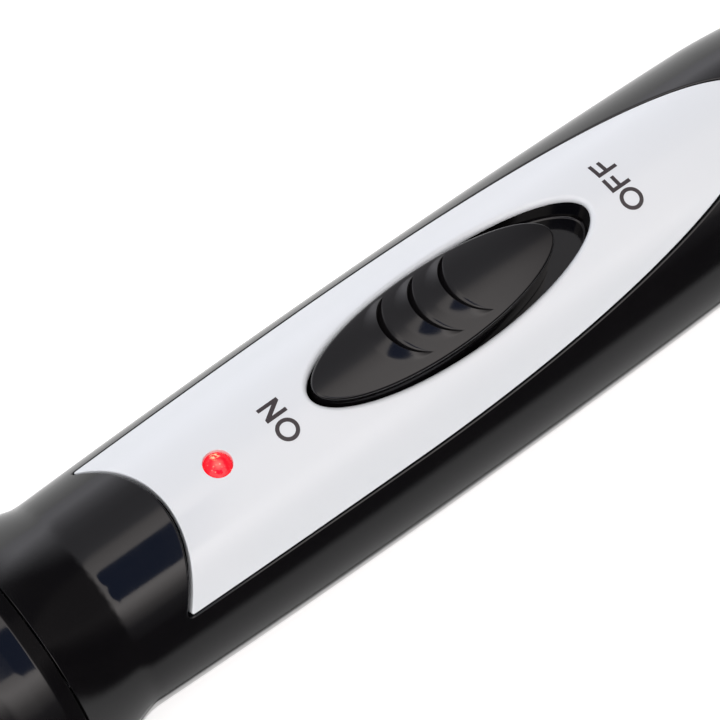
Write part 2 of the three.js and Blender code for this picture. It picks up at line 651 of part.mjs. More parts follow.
add('gearbox_frame', gearboxFrame(), nylon());
add('drive_gear', driveGear(), nylon());
add('idler_gear', idlerGear(), nylon());
add('idler_axle', idlerAxle(), steel());
add('motor_pinion', motorPinion(), brass());
add('motor_shaft', motorShaft(), steel());
add('motor_can', motorCan(), darkSteel());
add('motor_end_cap', motorEndCap(), mattBlack());

add('spindle', spindle(), steel());
add('front_bush', frontBush(), bronze());
add('rear_bush', rearBush(), bronze());
add('insulating_hub', insulatingHub(), mattBlack());
SLIP_RINGS.forEach((place, i) => {
  add(`slip_ring_${i + 1}`, slipRing(place), brass());
  add(`brush_${i + 1}`, brush(place), carbon());
  add(`brush_spring_${i + 1}`, brushSpring(place), brass());
});
add('brush_holder', brushHolder(), mattBlack());

add('barrel_base', barrelBase(), mattBlack());
add('barrel_tube', barrelTube(), ceramicGrey());
add('heat_spreader_upper', heatSpreader(1), aluminium());
add('heat_spreader_lower', heatSpreader(-1), aluminium());
add('heater_element', heaterElement(), ceramicWhite());
add('cool_tip', coolTip(), mattBlack());
add('tip_screw', tipScrew(), steel());

add('clip_bracket', clipBracket(), steel());
add('clip_pin', clipPin(), steel());
add('clip_spring', clipSpring(), steel());
add('clip_spoon', clipSpoon(), ceramicGrey());
add('clip_lever', clipLever(), mattBlack());
CLIP_RIVETS.forEach((x, i) => add(`clip_rivet_${i + 1}`, clipRivet(x, RIVET_HEADS[i]), steel()));

add('cord_swivel', cordSwivel(), mattBlack());
add('swivel_washer', swivelWasher(), nylon());

curler.position.set(-(TIP_FRONT + SWIVEL_REAR) / 2, 0, -REST_Z);

export default curler;
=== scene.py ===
# %% [markdown]
# # An automatic hair curler
# The curler has a glossy black handle in two halves, a white inlay with a long elliptical power
# slider, a lit lamp, and a heated barrel with a clip in front. The fixed frame below holds every
# part at its real size. This lesson builds the fine surfaces and finishes around that frame.

# %% The frame
import json
import math
import bpy
import numpy as np
from mathutils import Matrix, Vector, kdtree
from mathutils.geometry import delaunay_2d_cdt


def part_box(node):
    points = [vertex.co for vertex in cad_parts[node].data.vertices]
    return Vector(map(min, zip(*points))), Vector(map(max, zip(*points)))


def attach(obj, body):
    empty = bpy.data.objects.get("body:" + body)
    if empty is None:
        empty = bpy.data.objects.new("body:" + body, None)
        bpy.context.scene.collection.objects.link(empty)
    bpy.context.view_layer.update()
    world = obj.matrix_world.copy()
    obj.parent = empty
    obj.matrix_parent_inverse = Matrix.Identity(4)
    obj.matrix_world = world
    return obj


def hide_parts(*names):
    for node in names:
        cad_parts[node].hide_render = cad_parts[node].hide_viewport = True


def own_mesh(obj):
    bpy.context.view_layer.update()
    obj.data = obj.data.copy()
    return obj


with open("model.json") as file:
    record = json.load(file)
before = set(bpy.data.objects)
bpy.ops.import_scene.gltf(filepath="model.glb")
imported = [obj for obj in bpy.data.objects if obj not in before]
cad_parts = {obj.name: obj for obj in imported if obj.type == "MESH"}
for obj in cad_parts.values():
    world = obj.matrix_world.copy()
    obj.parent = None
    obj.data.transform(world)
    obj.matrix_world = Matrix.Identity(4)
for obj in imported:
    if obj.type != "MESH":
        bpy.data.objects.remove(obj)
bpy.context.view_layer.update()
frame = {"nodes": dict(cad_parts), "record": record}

# %% [markdown]
# ## Where things are
# Blender counts in metres, and a hand-held thing is easier to think about in millimetres. All
# shapes here are drawn in millimetres from one natural point: the barrel's axis, right under the
# middle of the power switch. The frame tells where that point is.

# %% Millimetres from the middle of the switch
MM = 0.001


def box_mm(node):
    low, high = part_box(node)
    return [v / MM for v in low], [v / MM for v in high]


def middle(node, axis):
    low, high = box_mm(node)
    return (low[axis] + high[axis]) / 2


HOME = (middle("switch_well", 0), 0.0, middle("barrel_tube", 2))


def ends(node):
    """Where a node starts and ends along the handle, in millimetres from the switch."""
    low, high = box_mm(node)
    return low[0] - HOME[0], high[0] - HOME[0]


def in_frame(point):
    return [(point[i] + HOME[i]) * MM for i in range(3)]


print("switch middle at", [round(v, 2) for v in HOME], "mm")

# %% [markdown]
# ## Camera
# The camera looks from above and a little in front, turned so that the handle runs up to the
# right. Its long lens keeps the round handle from bulging. It is placed by a direction and a
# distance rather than by a constraint, so that it is easy to see what each number does.

# %% Camera
LEAN, TILT, ROLL = (math.radians(angle) for angle in (19.98, 19.89, 34.81))
DISTANCE, TARGET = 420.0, Vector((-15.78, 0.31, 17.5))
LENS_LENGTH, SENSOR_WIDTH = 157.5, 36
NEAREST, FARTHEST = 0.01, 20


def aim_camera():
    back = Vector((-math.sin(LEAN), -math.sin(TILT) * math.cos(LEAN), math.cos(TILT) * math.cos(LEAN)))
    along = (Vector((1, 0, 0)) - back * back.x).normalized()
    across = back.cross(along)
    right = along * math.cos(ROLL) - across * math.sin(ROLL)
    up = along * math.sin(ROLL) + across * math.cos(ROLL)
    data = bpy.data.cameras.new("camera")
    data.lens, data.sensor_width = LENS_LENGTH, SENSOR_WIDTH
    data.clip_start, data.clip_end = NEAREST, FARTHEST
    camera = bpy.data.objects.new("camera", data)
    turn = Matrix((right, up, back)).transposed().to_4x4()
    camera.matrix_world = Matrix.Translation(in_frame(TARGET + back * DISTANCE)) @ turn
    bpy.context.scene.collection.objects.link(camera)
    bpy.context.scene.camera = camera


aim_camera()
bpy.context.scene.view_settings.view_transform = "Standard"
print("camera set, with a", bpy.context.scene.camera.data.lens, "mm lens")

# %% [markdown]
# ## Shader maths as plain Python
# A material is a small program made of nodes. Wiring every Math node by hand hides the idea, so
# one class wraps a socket and lets ordinary expressions such as `1 - mask * 0.5` add the nodes.
# Any other kind of node comes from its `node` method: the type, its settings, and its inputs.

# %% The Wire class
class Wire:
    def __init__(self, tree, socket=None):
        self.tree, self.socket = tree, socket

    def node(self, kind, settings=None, inputs=None, out=0):
        made = self.tree.nodes.new(kind)
        for name, value in (settings or {}).items():
            if name == "stops":
                ramp = made.color_ramp
                while len(ramp.elements) < len(value):
                    ramp.elements.new(0.5)
                for stop, (place, colour) in zip(ramp.elements, value):
                    stop.position, stop.color = place, (*colour, 1)
            elif name == "interpolation":
                made.color_ramp.interpolation = value
            else:
                setattr(made, name, value)
        for name, value in (inputs or {}).items():
            plug = made.inputs[name]
            if isinstance(value, Wire):
                self.tree.links.new(value.socket, plug)
            else:
                plug.default_value = value
        return Wire(self.tree, made.outputs[out])

    def maths(self, operation, *values):
        return self.node("ShaderNodeMath", {"operation": operation}, dict(enumerate(values)))

    def __add__(self, other):
        return self.maths("ADD", self, other)

    def __sub__(self, other):
        return self.maths("SUBTRACT", self, other)

    def __mul__(self, other):
        return self.maths("MULTIPLY", self, other)

    def __truediv__(self, other):
        return self.maths("DIVIDE", self, other)

    def __radd__(self, other):
        return self.maths("ADD", other, self)

    def __rsub__(self, other):
        return self.maths("SUBTRACT", other, self)

    def __rmul__(self, other):
        return self.maths("MULTIPLY", other, self)

    def __rtruediv__(self, other):
        return self.maths("DIVIDE", other, self)

    def step(self, start, end):
        """0 before start and 1 after end, with a smooth rise between them."""
        return self.node("ShaderNodeMapRange", {"interpolation_type": "SMOOTHSTEP", "clamp": True},
                         {"Value": self, "From Min": start, "From Max": end})

    def between(self, low, high):
        """Stretches 0..1 to low..high."""
        return self * (high - low) + low

    def mix(self, colour_0, colour_1):
        """Blends two colours, with this value as the share of the second."""
        plugs = [value if isinstance(value, Wire) else (*value, 1) for value in (colour_0, colour_1)]
        return self.node("ShaderNodeMix", {"data_type": "RGBA"}, {0: self, 6: plugs[0], 7: plugs[1]}, 2)

    def parts(self):
        """The x, y and z of a vector."""
        split = self.node("ShaderNodeSeparateXYZ", None, {0: self})
        return [Wire(self.tree, socket) for socket in split.socket.node.outputs]


print("shader maths ready")

# %% [markdown]
# ## Finishes
# Every finish starts from the Principled shader, and differs from the next in what varies over
# its surface. `Finish` gives each one the place on the object in millimetres, a noise helper and
# a bump helper, so that a finish can be written in a few lines.

# %% The Finish helper
class Finish:
    def __init__(self, name, **plain):
        self.material = bpy.data.materials.new(name)
        self.material.use_nodes = True
        self.tree = self.material.node_tree
        self.shader = self.tree.nodes["Principled BSDF"]
        for plug, value in plain.items():
            self.shader.inputs[plug.replace("_", " ")].default_value = value
        self.start = Wire(self.tree)
        spot = self.start.node("ShaderNodeTexCoord", out=3)
        self.place = spot.node("ShaderNodeVectorMath", {"operation": "SCALE"}, {0: spot, "Scale": 1 / MM})

    def stretched(self, x, y, z):
        """The place with each direction scaled, for grain that runs one way."""
        return self.start.node("ShaderNodeVectorMath", {"operation": "MULTIPLY"},
                               {0: self.place, 1: (x, y, z)})

    def noise(self, per_mm, detail=2.0, place=None):
        return self.start.node("ShaderNodeTexNoise", None, {
            "Vector": place or self.place, "Scale": per_mm, "Detail": detail, "Roughness": 0.5})

    def grains(self, per_mm):
        return self.start.node("ShaderNodeTexVoronoi", None, {"Vector": self.place, "Scale": per_mm})

    def distance(self, x, y):
        """How far a place is from an upright line through (x, y), in the frame's millimetres."""
        flat = self.start.node("ShaderNodeVectorMath", {"operation": "MULTIPLY_ADD"},
                               {0: self.place, 1: (1, 1, 0), 2: (-x, -y, 0)})
        return self.start.node("ShaderNodeVectorMath", {"operation": "LENGTH"}, {0: flat}, 1)

    def feed(self, plug, wire):
        self.tree.links.new(wire.socket, self.shader.inputs[plug])
        return self

    def bump(self, height, millimetres):
        """Raises the surface by up to that many millimetres where height is 1."""
        normal = self.start.node("ShaderNodeBump", None, {
            "Strength": 1.0, "Distance": millimetres * MM, "Height": height})
        return self.feed("Normal", normal)


print("finish helper ready, counting in units of", MM, "m")

# %% [markdown]
# ### Black and white mouldings
# The casing and the inlay are injection-moulded in polished steel tools. Polished plastic isn't
# a perfect mirror: it has a very faint waviness, and its gloss changes a little from place to
# place. The black is almost all reflection, so its own colour is nearly nothing; the white is a
# cool white that carries the light itself. The heat-resistant parts near the barrel come from an
# etched tool, which leaves a fine matt grain.

# %% Plastics
def polished_black():
    finish = Finish("polished_black", Specular_IOR_Level=0.5, IOR=1.5)
    cloud = finish.noise(0.09, 3)
    finish.feed("Base Color", cloud.mix((0.0035, 0.0034, 0.0042), (0.0065, 0.0060, 0.0068)))
    finish.feed("Roughness", finish.noise(0.35, 4).between(0.075, 0.135))
    return finish.bump(finish.noise(0.55, 2), 0.004)


def satin_slider_black():
    finish = Finish("satin_slider_black", Specular_IOR_Level=0.5, IOR=1.5)
    cloud = finish.noise(0.12, 3)
    finish.feed("Base Color", cloud.mix((0.0040, 0.0038, 0.0046), (0.0075, 0.0068, 0.0075)))
    finish.feed("Roughness", finish.noise(0.4, 4).between(0.12, 0.19))
    return finish.bump(finish.noise(6.0, 3), 0.0012)


def polished_white():
    finish = Finish("polished_white", Specular_IOR_Level=0.5, IOR=1.5)
    cloud = finish.noise(0.05, 3)
    finish.feed("Base Color", cloud.mix((0.790, 0.840, 0.880), (0.825, 0.862, 0.900)))
    finish.feed("Roughness", finish.noise(0.3, 4).between(0.10, 0.18))
    return finish.bump(finish.noise(0.5, 2), 0.003)


def etched_black():
    finish = Finish("etched_black", Specular_IOR_Level=0.45, IOR=1.5)
    grain = finish.grains(5.5) * 0.6 + finish.noise(11, 3) * 0.4
    finish.feed("Base Color", finish.noise(0.2, 4).mix((0.012, 0.012, 0.0125), (0.022, 0.022, 0.023)))
    finish.feed("Roughness", grain.between(0.42, 0.62))
    return finish.bump(grain, 0.03)


def natural_nylon():
    finish = Finish("natural_nylon", Specular_IOR_Level=0.4, Subsurface_Weight=0.15)
    finish.feed("Base Color", finish.noise(0.4, 4).mix((0.70, 0.66, 0.54), (0.84, 0.81, 0.70)))
    finish.feed("Roughness", finish.noise(3, 3).between(0.38, 0.55))
    return finish.bump(finish.noise(2.5, 3), 0.01)


def pressed_carbon():
    finish = Finish("pressed_carbon", Specular_IOR_Level=0.4)
    flakes = finish.grains(9)
    finish.feed("Base Color", flakes.mix((0.018, 0.018, 0.019), (0.06, 0.06, 0.062)))
    finish.feed("Roughness", flakes.between(0.5, 0.75))
    return finish.bump(flakes, 0.015)


def heater_white():
    finish = Finish("heater_white", Specular_IOR_Level=0.35)
    finish.feed("Base Color", finish.noise(1.2, 5).mix((0.78, 0.76, 0.70), (0.88, 0.87, 0.83)))
    finish.feed("Roughness", finish.noise(5, 3).between(0.55, 0.75))
    return finish.bump(finish.noise(7, 4), 0.02)


def coated_board():
    finish = Finish("coated_board", Specular_IOR_Level=0.5, Coat_Weight=0.4)
    tracks = finish.start.node("ShaderNodeTexBrick", {"offset": 0.37, "squash": 1.4}, {
        "Vector": finish.place, "Color1": (0.012, 0.13, 0.06, 1), "Color2": (0.02, 0.19, 0.09, 1),
        "Mortar": (0.05, 0.30, 0.14, 1), "Scale": 0.45, "Mortar Size": 0.04})
    finish.feed("Base Color", tracks)
    finish.feed("Roughness", finish.noise(2, 3).between(0.25, 0.4))
    return finish.bump(finish.noise(4, 2), 0.01)


print("eight plastics and mineral finishes written")

# %% [markdown]
# ### Metals
# Turned and drawn metal keeps fine marks that run one way. A noise that is squeezed along one
# axis gives such a grain; it drives both the roughness and a very small bump. The barrel and the
# clip wear a smooth grey ceramic coating, which has tiny darker specks and a soft sheen.

# %% Metals
def bright_metal(name, dark, light, rough=(0.22, 0.42), grain=(0.15, 9.0, 9.0), lift=0.004):
    finish = Finish(name, Metallic=1.0)
    marks = finish.noise(1.0, 4, finish.stretched(*grain))
    finish.feed("Base Color", finish.noise(0.5, 3).mix(dark, light))
    finish.feed("Roughness", marks.between(*rough))
    return finish.bump(marks, lift)


def ceramic_coat():
    finish = Finish("ceramic_coat", Metallic=0.35, Specular_IOR_Level=0.6)
    specks = finish.grains(3.2).step(0.05, 0.22)
    shade = finish.noise(0.25, 4).mix((0.115, 0.108, 0.112), (0.16, 0.152, 0.157))
    finish.feed("Base Color", specks.mix((0.05, 0.047, 0.05), shade))
    finish.feed("Roughness", finish.noise(1.5, 4).between(0.24, 0.34))
    return finish.bump(finish.noise(4, 3), 0.004)


print("metal finishes written")

# %% [markdown]
# ### The lamp and the print
# The lamp is a clear red dome with a lit chip under it: brightest in the middle, deep red round
# it, with a few sparkles and one larger painted highlight, a fixed yellow-white spot a little off
# its middle. Seen from outside it is simply a surface that gives off light, so its glow is painted
# by distance from its middle. The printed words are a thin layer of dark brown-grey ink.

# %% Lamp and print
LAMP_X = middle("led_lens", 0) - HOME[0]
# Where the painted highlight sits on the lamp, in millimetres from its middle.
PAINTED_HIGHLIGHT_X, PAINTED_HIGHLIGHT_Y = 0.4, 1.15


def lit_red():
    finish = Finish("lit_red_lens", Emission_Strength=0.9, Specular_IOR_Level=0.5, Roughness=0.06)
    away = finish.distance(LAMP_X + HOME[0], 0)
    sparkle = finish.grains(2.6).step(0.42, 0.12) * finish.noise(1.4, 2).step(0.5, 0.62)
    core = 1 - away.step(0.1, 0.95)
    # A painted highlight: a fixed yellow-white spot beside the lamp's middle, mixed into its glow.
    from_painted_highlight = finish.distance(LAMP_X + HOME[0] + PAINTED_HIGHLIGHT_X, PAINTED_HIGHLIGHT_Y)
    painted_highlight = from_painted_highlight.step(0.85, 0.2) * finish.noise(2.2, 2).step(0.40, 0.56)
    red = away.step(0.5, 2.0).mix((1.0, 0.010, 0.030), (0.95, 0.006, 0.018))
    glow = painted_highlight.mix((core * 0.30 + sparkle * 0.7).mix(red, (1.0, 0.55, 0.40)), (1.0, 0.85, 0.45))
    finish.feed("Emission Color", glow)
    finish.feed("Base Color", away.step(0.6, 2.0).mix((0.30, 0.005, 0.012), (0.22, 0.003, 0.008)))
    return finish.bump(finish.grains(2.6), 0.02)


def printed_ink():
    finish = Finish("printed_ink", Specular_IOR_Level=0.4)
    patchy = finish.noise(3.5, 4)
    finish.feed("Base Color", patchy.mix((0.040, 0.033, 0.037), (0.060, 0.050, 0.055)))
    finish.feed("Roughness", patchy.between(0.3, 0.45))
    return finish.bump(finish.noise(9, 3), 0.003)


print("lamp is", round(LAMP_X, 2), "mm from the middle of the switch")

# %% [markdown]
# ### One finish for each slot
# The frame's record gives every part the name of a material slot. A table from those names to
# finishes keeps each finish in one place, so a change to it reaches all the parts that wear it.

# %% Finishes by slot
FINISHES = {
    "gloss_black": polished_black(),
    "slider_black": satin_slider_black(),
    "gloss_white": polished_white(),
    "matt_black": etched_black(),
    "red_lens": lit_red(),
    "ink": printed_ink(),
    "steel": bright_metal("plated_steel", (0.50, 0.51, 0.53), (0.62, 0.63, 0.65)),
    "motor_steel": bright_metal("motor_steel", (0.28, 0.29, 0.31), (0.40, 0.41, 0.43), (0.3, 0.5)),
    "coated_tube": ceramic_coat(),
    "aluminium": bright_metal("extruded_aluminium", (0.62, 0.63, 0.65), (0.76, 0.77, 0.79)),
    "brass": bright_metal("polished_brass", (0.66, 0.47, 0.16), (0.80, 0.61, 0.27), (0.15, 0.3)),
    "bronze": bright_metal("oiled_bronze", (0.30, 0.18, 0.08), (0.48, 0.31, 0.15), (0.4, 0.6),
                           (3.0, 3.0, 3.0), 0.012),
    "carbon": pressed_carbon(),
    "board": coated_board(),
    "nylon": natural_nylon(),
    "heater_ceramic": heater_white(),
}
FINISHES["coated_steel"] = FINISHES["coated_tube"]
print("finishes:", ", ".join(FINISHES))

# %% [markdown]
# ## From corners and faces to a piece
# All the pieces end the same way: a mesh gets its finish, rides on the body that it belongs to,
# and stands for the plain CAD nodes that it covers. One helper does that, so no step is missed.

# %% Placing a piece
def place_piece(mesh, body, slot, covers=(), finish=None):
    mesh.materials.append(FINISHES[finish or slot].material)
    piece = bpy.data.objects.new(mesh.name, mesh)
    bpy.context.scene.collection.objects.link(piece)
    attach(piece, body)
    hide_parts(*covers)
    print(f"{piece.name}: {len(mesh.polygons)} faces on {body}")
    return piece


# %% [markdown]
# ## Outlines in the flat
# A closed outline is a list of points in counter-clockwise order, and a hole runs the other way.
# These helpers space the points evenly, soften corners, and shift an outline outwards or inwards.
# They are plain arithmetic on arrays, which is quicker and steadier than curve objects are.

# %% Outlines in the flat
def resampled(outline, step):
    """The closed outline again, with points about that far apart."""
    loop = np.vstack([outline, outline[:1]])
    along = np.concatenate([[0], np.cumsum(np.linalg.norm(np.diff(loop, axis=0), axis=1))])
    places = np.linspace(0, along[-1], max(8, round(along[-1] / step)), endpoint=False)
    return np.column_stack([np.interp(places, along, loop[:, i]) for i in (0, 1)])


def relaxed(outline, rounds):
    """Rounds the corners: in each round a point moves towards its neighbours' middle."""
    for _ in range(rounds):
        outline = (np.roll(outline, 1, 0) + 2 * outline + np.roll(outline, -1, 0)) / 4
    return outline


def sideways(outline):
    """The outward direction at each point of an outline that runs counter-clockwise."""
    edges = np.roll(outline, -1, 0) - outline
    edges /= np.linalg.norm(edges, axis=1)[:, None]
    out = np.column_stack([edges[:, 1], -edges[:, 0]])
    both = out + np.roll(out, 1, 0)
    return both / (np.einsum("ij,ij->i", both, both) / 2)[:, None]


def grown(outline, amount):
    return outline + sideways(outline) * amount


def inside(points, outline):
    """Which of the points lie inside the closed outline."""
    x, y = points[:, :1], points[:, 1:]
    x0, y0 = outline[:, 0], outline[:, 1]
    x1, y1 = np.roll(x0, -1), np.roll(y0, -1)
    crosses = (y0 > y) != (y1 > y)
    with np.errstate(divide="ignore", invalid="ignore"):
        meets = x0 + (y - y0) * (x1 - x0) / (y1 - y0)
    return (crosses & (x < meets)).sum(1) % 2 == 1


def ellipse(x, a, b, count=160, turn=1):
    angle = np.linspace(0, 2 * np.pi, count, endpoint=False) * turn
    return np.column_stack([x + a * np.cos(angle), b * np.sin(angle)])


def rounded_box(x0, x1, y0, y1, radius, step=0.3):
    quarter = np.linspace(0, np.pi / 2, 8)
    corners = [(x1 - radius, y1 - radius, 0), (x0 + radius, y1 - radius, 1),
               (x0 + radius, y0 + radius, 2), (x1 - radius, y0 + radius, 3)]
    points = [[cx + radius * math.cos(a + k * math.pi / 2), cy + radius * math.sin(a + k * math.pi / 2)]
              for cx, cy, k in corners for a in quarter]
    return resampled(np.array(points), step)


def resampled_box(corners, step):
    """Points along straight sides, with every corner kept."""
    points = []
    for a, b in zip(corners, np.roll(corners, -1, 0)):
        count = max(1, round(np.linalg.norm(b - a) / step))
        points += [a + (b - a) * k / count for k in range(count)]
    return np.array(points)


print("an ellipse helper with", len(ellipse(0, 2, 1)), "points")

# %% [markdown]
# ## Skins: smooth panels with rounded edges
# The casing, the inlay and the slider are sheets that bend, with holes, rims and rounded edges.
# Their gloss shows the smallest error, so they aren't modelled by hand. Each is drawn flat, as an
# outline with holes, filled with a fine net of triangles, and only then laid on its curved
# surface. Round every outline a band of narrow strips turns over the edge and goes down the wall.
# Each face corner is told the exact direction of the true surface, so reflections stay smooth.

# %% A net of triangles
STAGGER, CLEARANCE, FINE_CLEARANCE = 0.25, 0.45, 0.04
MERGE = 1e-6


def within(points, outline, holes):
    keep = inside(points, outline)
    for hole in holes:
        keep &= ~inside(points, hole)
    return keep


def net_points(outline, holes, spacing, fixed, extra):
    """An even grid inside the outline, kept clear of the fixed points, and any extra points."""
    low, high = outline.min(0), outline.max(0)
    steps = np.maximum(2, np.ceil((high - low) / spacing)).astype(int)
    lines = [np.linspace(low[i], high[i], steps[i] + 1)[1:-1] for i in (0, 1)]
    grid = np.stack(np.meshgrid(*lines), -1).reshape(-1, 2)
    grid[:, 0] += STAGGER * spacing * np.where(np.round(grid[:, 1] / spacing) % 2 > 0, 1, -1)
    tree = kdtree.KDTree(len(fixed))
    for i, p in enumerate(fixed):
        tree.insert((*p, 0), i)
    tree.balance()
    groups = [(grid[within(grid, outline, holes)], CLEARANCE * spacing)]
    if extra is not None:
        groups.append((extra[inside(extra, outline)], FINE_CLEARANCE))
    clear = [[p for p in points if tree.find((*p, 0))[2] > limit] for points, limit in groups]
    return np.array(sum(clear, [])).reshape(-1, 2)


def triangulated(outline, holes, creases, spacing, extra):
    """Points and triangles that fill the outline, apart from its holes."""
    fixed = np.vstack([outline, *holes, *creases])
    edges, start = [], 0
    for loop in (outline, *holes):
        edges += [(start + i, start + (i + 1) % len(loop)) for i in range(len(loop))]
        start += len(loop)
    for crease in creases:
        edges += [(start + i, start + i + 1) for i in range(len(crease) - 1)]
        start += len(crease)
    points = np.vstack([fixed, net_points(outline, holes, spacing, fixed, extra)])
    corners = [Vector(p) for p in points]
    places, _, triangles, origin, _, _ = delaunay_2d_cdt(corners, edges, [], 0, MERGE)
    flat = np.array([points[origin[i][0]] if origin[i] else places[i][:] for i in range(len(places))])
    triangles = np.array(triangles)
    return flat, triangles[within(flat[triangles].mean(1), outline, holes)]


square = rounded_box(-5, 5, -5, 5, 1)
print("a 10 mm square becomes", len(triangulated(square, (), (), 1.0, None)[1]), "triangles")

# %% [markdown]
# ### The skin builder
# One class gathers the faces of a piece. It can fill an outline, run a rounded edge round it, and
# join rings of points, which is all that the moulded pieces and the turned ones need. Corners
# that fall on the same spot share a vertex, so a piece is closed without a clean-up step.

# %% The Skin builder
ROUND_EDGE = [(math.sin(a) - 1, 1 - math.cos(a), a) for a in np.linspace(0, math.pi / 2, 6)]
CENTROID_PULL = 0.03
SPOTS_PER_MM = 2000
SMALL_STEP = 0.01


def edge_profile(radius, depth, flare=0.0):
    """A rounded edge of that radius and then a wall down to depth: (outward, down, lean) rows."""
    rows = [(o * radius, d * radius, lean) for o, d, lean in ROUND_EDGE]
    return rows + [(flare, depth, math.pi / 2)]


class Skin:
    """Gathers the faces of one piece. Corners that meet share a vertex, and every face corner
    keeps the direction of the true surface there."""

    def __init__(self, name, place=None):
        self.name, self.place = name, place or Matrix()
        self.spots, self.points, self.faces, self.directions = {}, [], [], []

    def spot(self, point):
        key = tuple(round(float(v) * SPOTS_PER_MM) for v in point)
        if key not in self.spots:
            self.spots[key] = len(self.points)
            self.points.append(in_frame(self.place @ Vector(point)))
        return self.spots[key]

    def face(self, corners, directions):
        kept, ways = [], []
        for corner, way in zip(corners, directions):
            index = self.spot(corner)
            if index not in kept:
                kept.append(index)
                ways.append(way)
        if len(kept) > 2:
            self.faces.append(kept)
            self.directions += ways

    def strip(self, upper, lower, way_u, way_l):
        """Quads between two rings of points, with the directions at each."""
        for i in range(len(upper)):
            j = (i + 1) % len(upper)
            self.face([upper[i], lower[i], lower[j], upper[j]], [way_u[i], way_l[i], way_l[j], way_u[j]])

    def patch(self, surface, outline, holes=(), spacing=1.2, depth=0.0, creases=(), extra=None,
              under=False):
        """Fills the outline, apart from its holes, with triangles laid on the surface."""
        flat, triangles = triangulated(outline, holes, creases, spacing, extra)
        solid = surface.at(flat, depth)
        corners = flat[triangles]
        pulled = corners + (corners.mean(1)[:, None] - corners) * CENTROID_PULL
        ways = surface.normals(pulled.reshape(-1, 2)).reshape(-1, 3, 3)
        for triangle, way in zip(triangles, ways):
            corner = solid[triangle]
            if under:
                self.face(corner[::-1], -way[::-1])
            else:
                self.face(corner, way)

    def band(self, surface, outline, profile):
        """Strips round an outline. Each profile row is how far outward, how deep, and how far the
        strip leans over from the surface's own direction."""
        out = sideways(outline)
        up = surface.normals(outline)
        side = surface.at(outline + out * SMALL_STEP, 0.0) - surface.at(outline, 0.0)
        side -= up * np.einsum("ij,ij->i", side, up)[:, None]
        side /= np.linalg.norm(side, axis=1)[:, None]
        rows = [(surface.at(outline + out * o, d), up * math.cos(lean) + side * math.sin(lean))
                for o, d, lean in profile]
        for (upper, way_u), (lower, way_l) in zip(rows, rows[1:]):
            self.strip(upper, lower, way_u, way_l)

    def mesh(self):
        made = bpy.data.meshes.new(self.name)
        made.from_pydata(self.points, [], self.faces)
        made.polygons.foreach_set("use_smooth", [True] * len(self.faces))
        turn = self.place.to_3x3()
        made.normals_split_custom_set([(turn @ Vector(d)).normalized() for d in self.directions])
        made.update()
        return made


print("skin builder ready")

# %% [markdown]
# ## The handle's surface
# The grip is a turned body with a very slight belly. In front it opens out into the finger guard
# and at the rear it rounds in to a flat end. A point on it is given by how far it lies along the
# outline and how far round; measured that way, lengths on the flat drawing are true lengths on
# the surface. Under the guard the round is cut flat, so that the curler doesn't roll.

# %% The handle's surface
SHELL_FRONT, SHELL_REAR = ends("upper_shell")
BELLY_R, BELLY_LEAN, BELLY_DROP, BELLY_LENGTH = 17.5, 0.16, 0.68, 50
REAR_ROUND, REAR_R, COLLAR_R = 56.0, 11.5, 8.3
FLARE_START, FLARE_SLOPE, FLARE_CURVE = -61.9, 0.2, 0.022
REST_Z = -HOME[2]
INNER = [(SHELL_FRONT, 13.2), (-58, 13.2), (-50, 14.1), (0, 14.5), (54, 13.6), (66, 11.5), (66.5, 10.2),
         (71.2, 10.2), (71.5, COLLAR_R), (SHELL_REAR, COLLAR_R)]


def handle_radius(x):
    x = np.asarray(x, float)
    t = x / BELLY_LENGTH
    radius = BELLY_R + BELLY_LEAN * t - BELLY_DROP * t * t
    d = np.maximum(FLARE_START - x, 0)
    radius = radius + FLARE_SLOPE * d * (1 - np.exp(-d)) + FLARE_CURVE * d * d
    s = np.clip((x - REAR_ROUND) / (SHELL_REAR - REAR_ROUND), 0, 1)
    return np.where(x > REAR_ROUND, REAR_R + (radius - REAR_R) * np.sqrt(1 - s * s), radius)


class TurnedSurface:
    """A body turned round the barrel's axis, drawn flat by length along and length round."""

    def __init__(self, x, r, inner=None, floor=None, reference=BELLY_R):
        self.x, self.r, self.floor, self.reference = x, r, floor, reference
        self.u = np.concatenate([[0], np.cumsum(np.hypot(np.diff(x), np.diff(r)))])
        self.slope = np.unwrap(np.arctan2(np.gradient(r, self.u), np.gradient(x, self.u)))
        self.inner = inner

    def u_at(self, x):
        last = int(np.argmax(self.x >= self.x[-1] - 1e-9)) + 1
        return np.interp(x, self.x[:last], self.u[:last])

    def x_of(self, u):
        return np.interp(u, self.u, self.x)

    def from_plan(self, plan):
        """Points of a drawing seen from above, (x, y), on the flat drawing of the surface."""
        plan = np.asarray(plan, float)
        x, y = plan[:, 0], plan[:, 1]
        r = np.interp(x, self.x, self.r)
        return np.column_stack([self.u_at(x), self.reference * np.arcsin(y / r)])

    def normals(self, flat):
        slope = np.interp(flat[:, 0], self.u, self.slope)
        angle = flat[:, 1] / self.reference
        rise = np.cos(slope)
        ways = np.column_stack([-np.sin(slope), rise * np.sin(angle), rise * np.cos(angle)])
        if self.floor is not None:
            r = np.interp(flat[:, 0], self.u, self.r)
            ways[r * np.cos(angle) < self.floor] = (0, 0, -1)
        return ways

    def at(self, flat, depth):
        x, r = np.interp(flat[:, 0], self.u, self.x), np.interp(flat[:, 0], self.u, self.r)
        angle = flat[:, 1] / self.reference
        if self.inner is not None and np.isscalar(depth) and depth == "inner":
            r = np.interp(x, *zip(*self.inner))
            return np.column_stack([x, r * np.sin(angle), r * np.cos(angle)])
        slope = np.interp(flat[:, 0], self.u, self.slope)
        x = np.clip(x + depth * np.sin(slope), self.x[0], self.x[-1])
        r = r - depth * np.cos(slope)
        z = r * np.cos(angle)
        if self.floor is not None:
            z = np.maximum(z, self.floor)
        return np.column_stack([x, r * np.sin(angle), z])


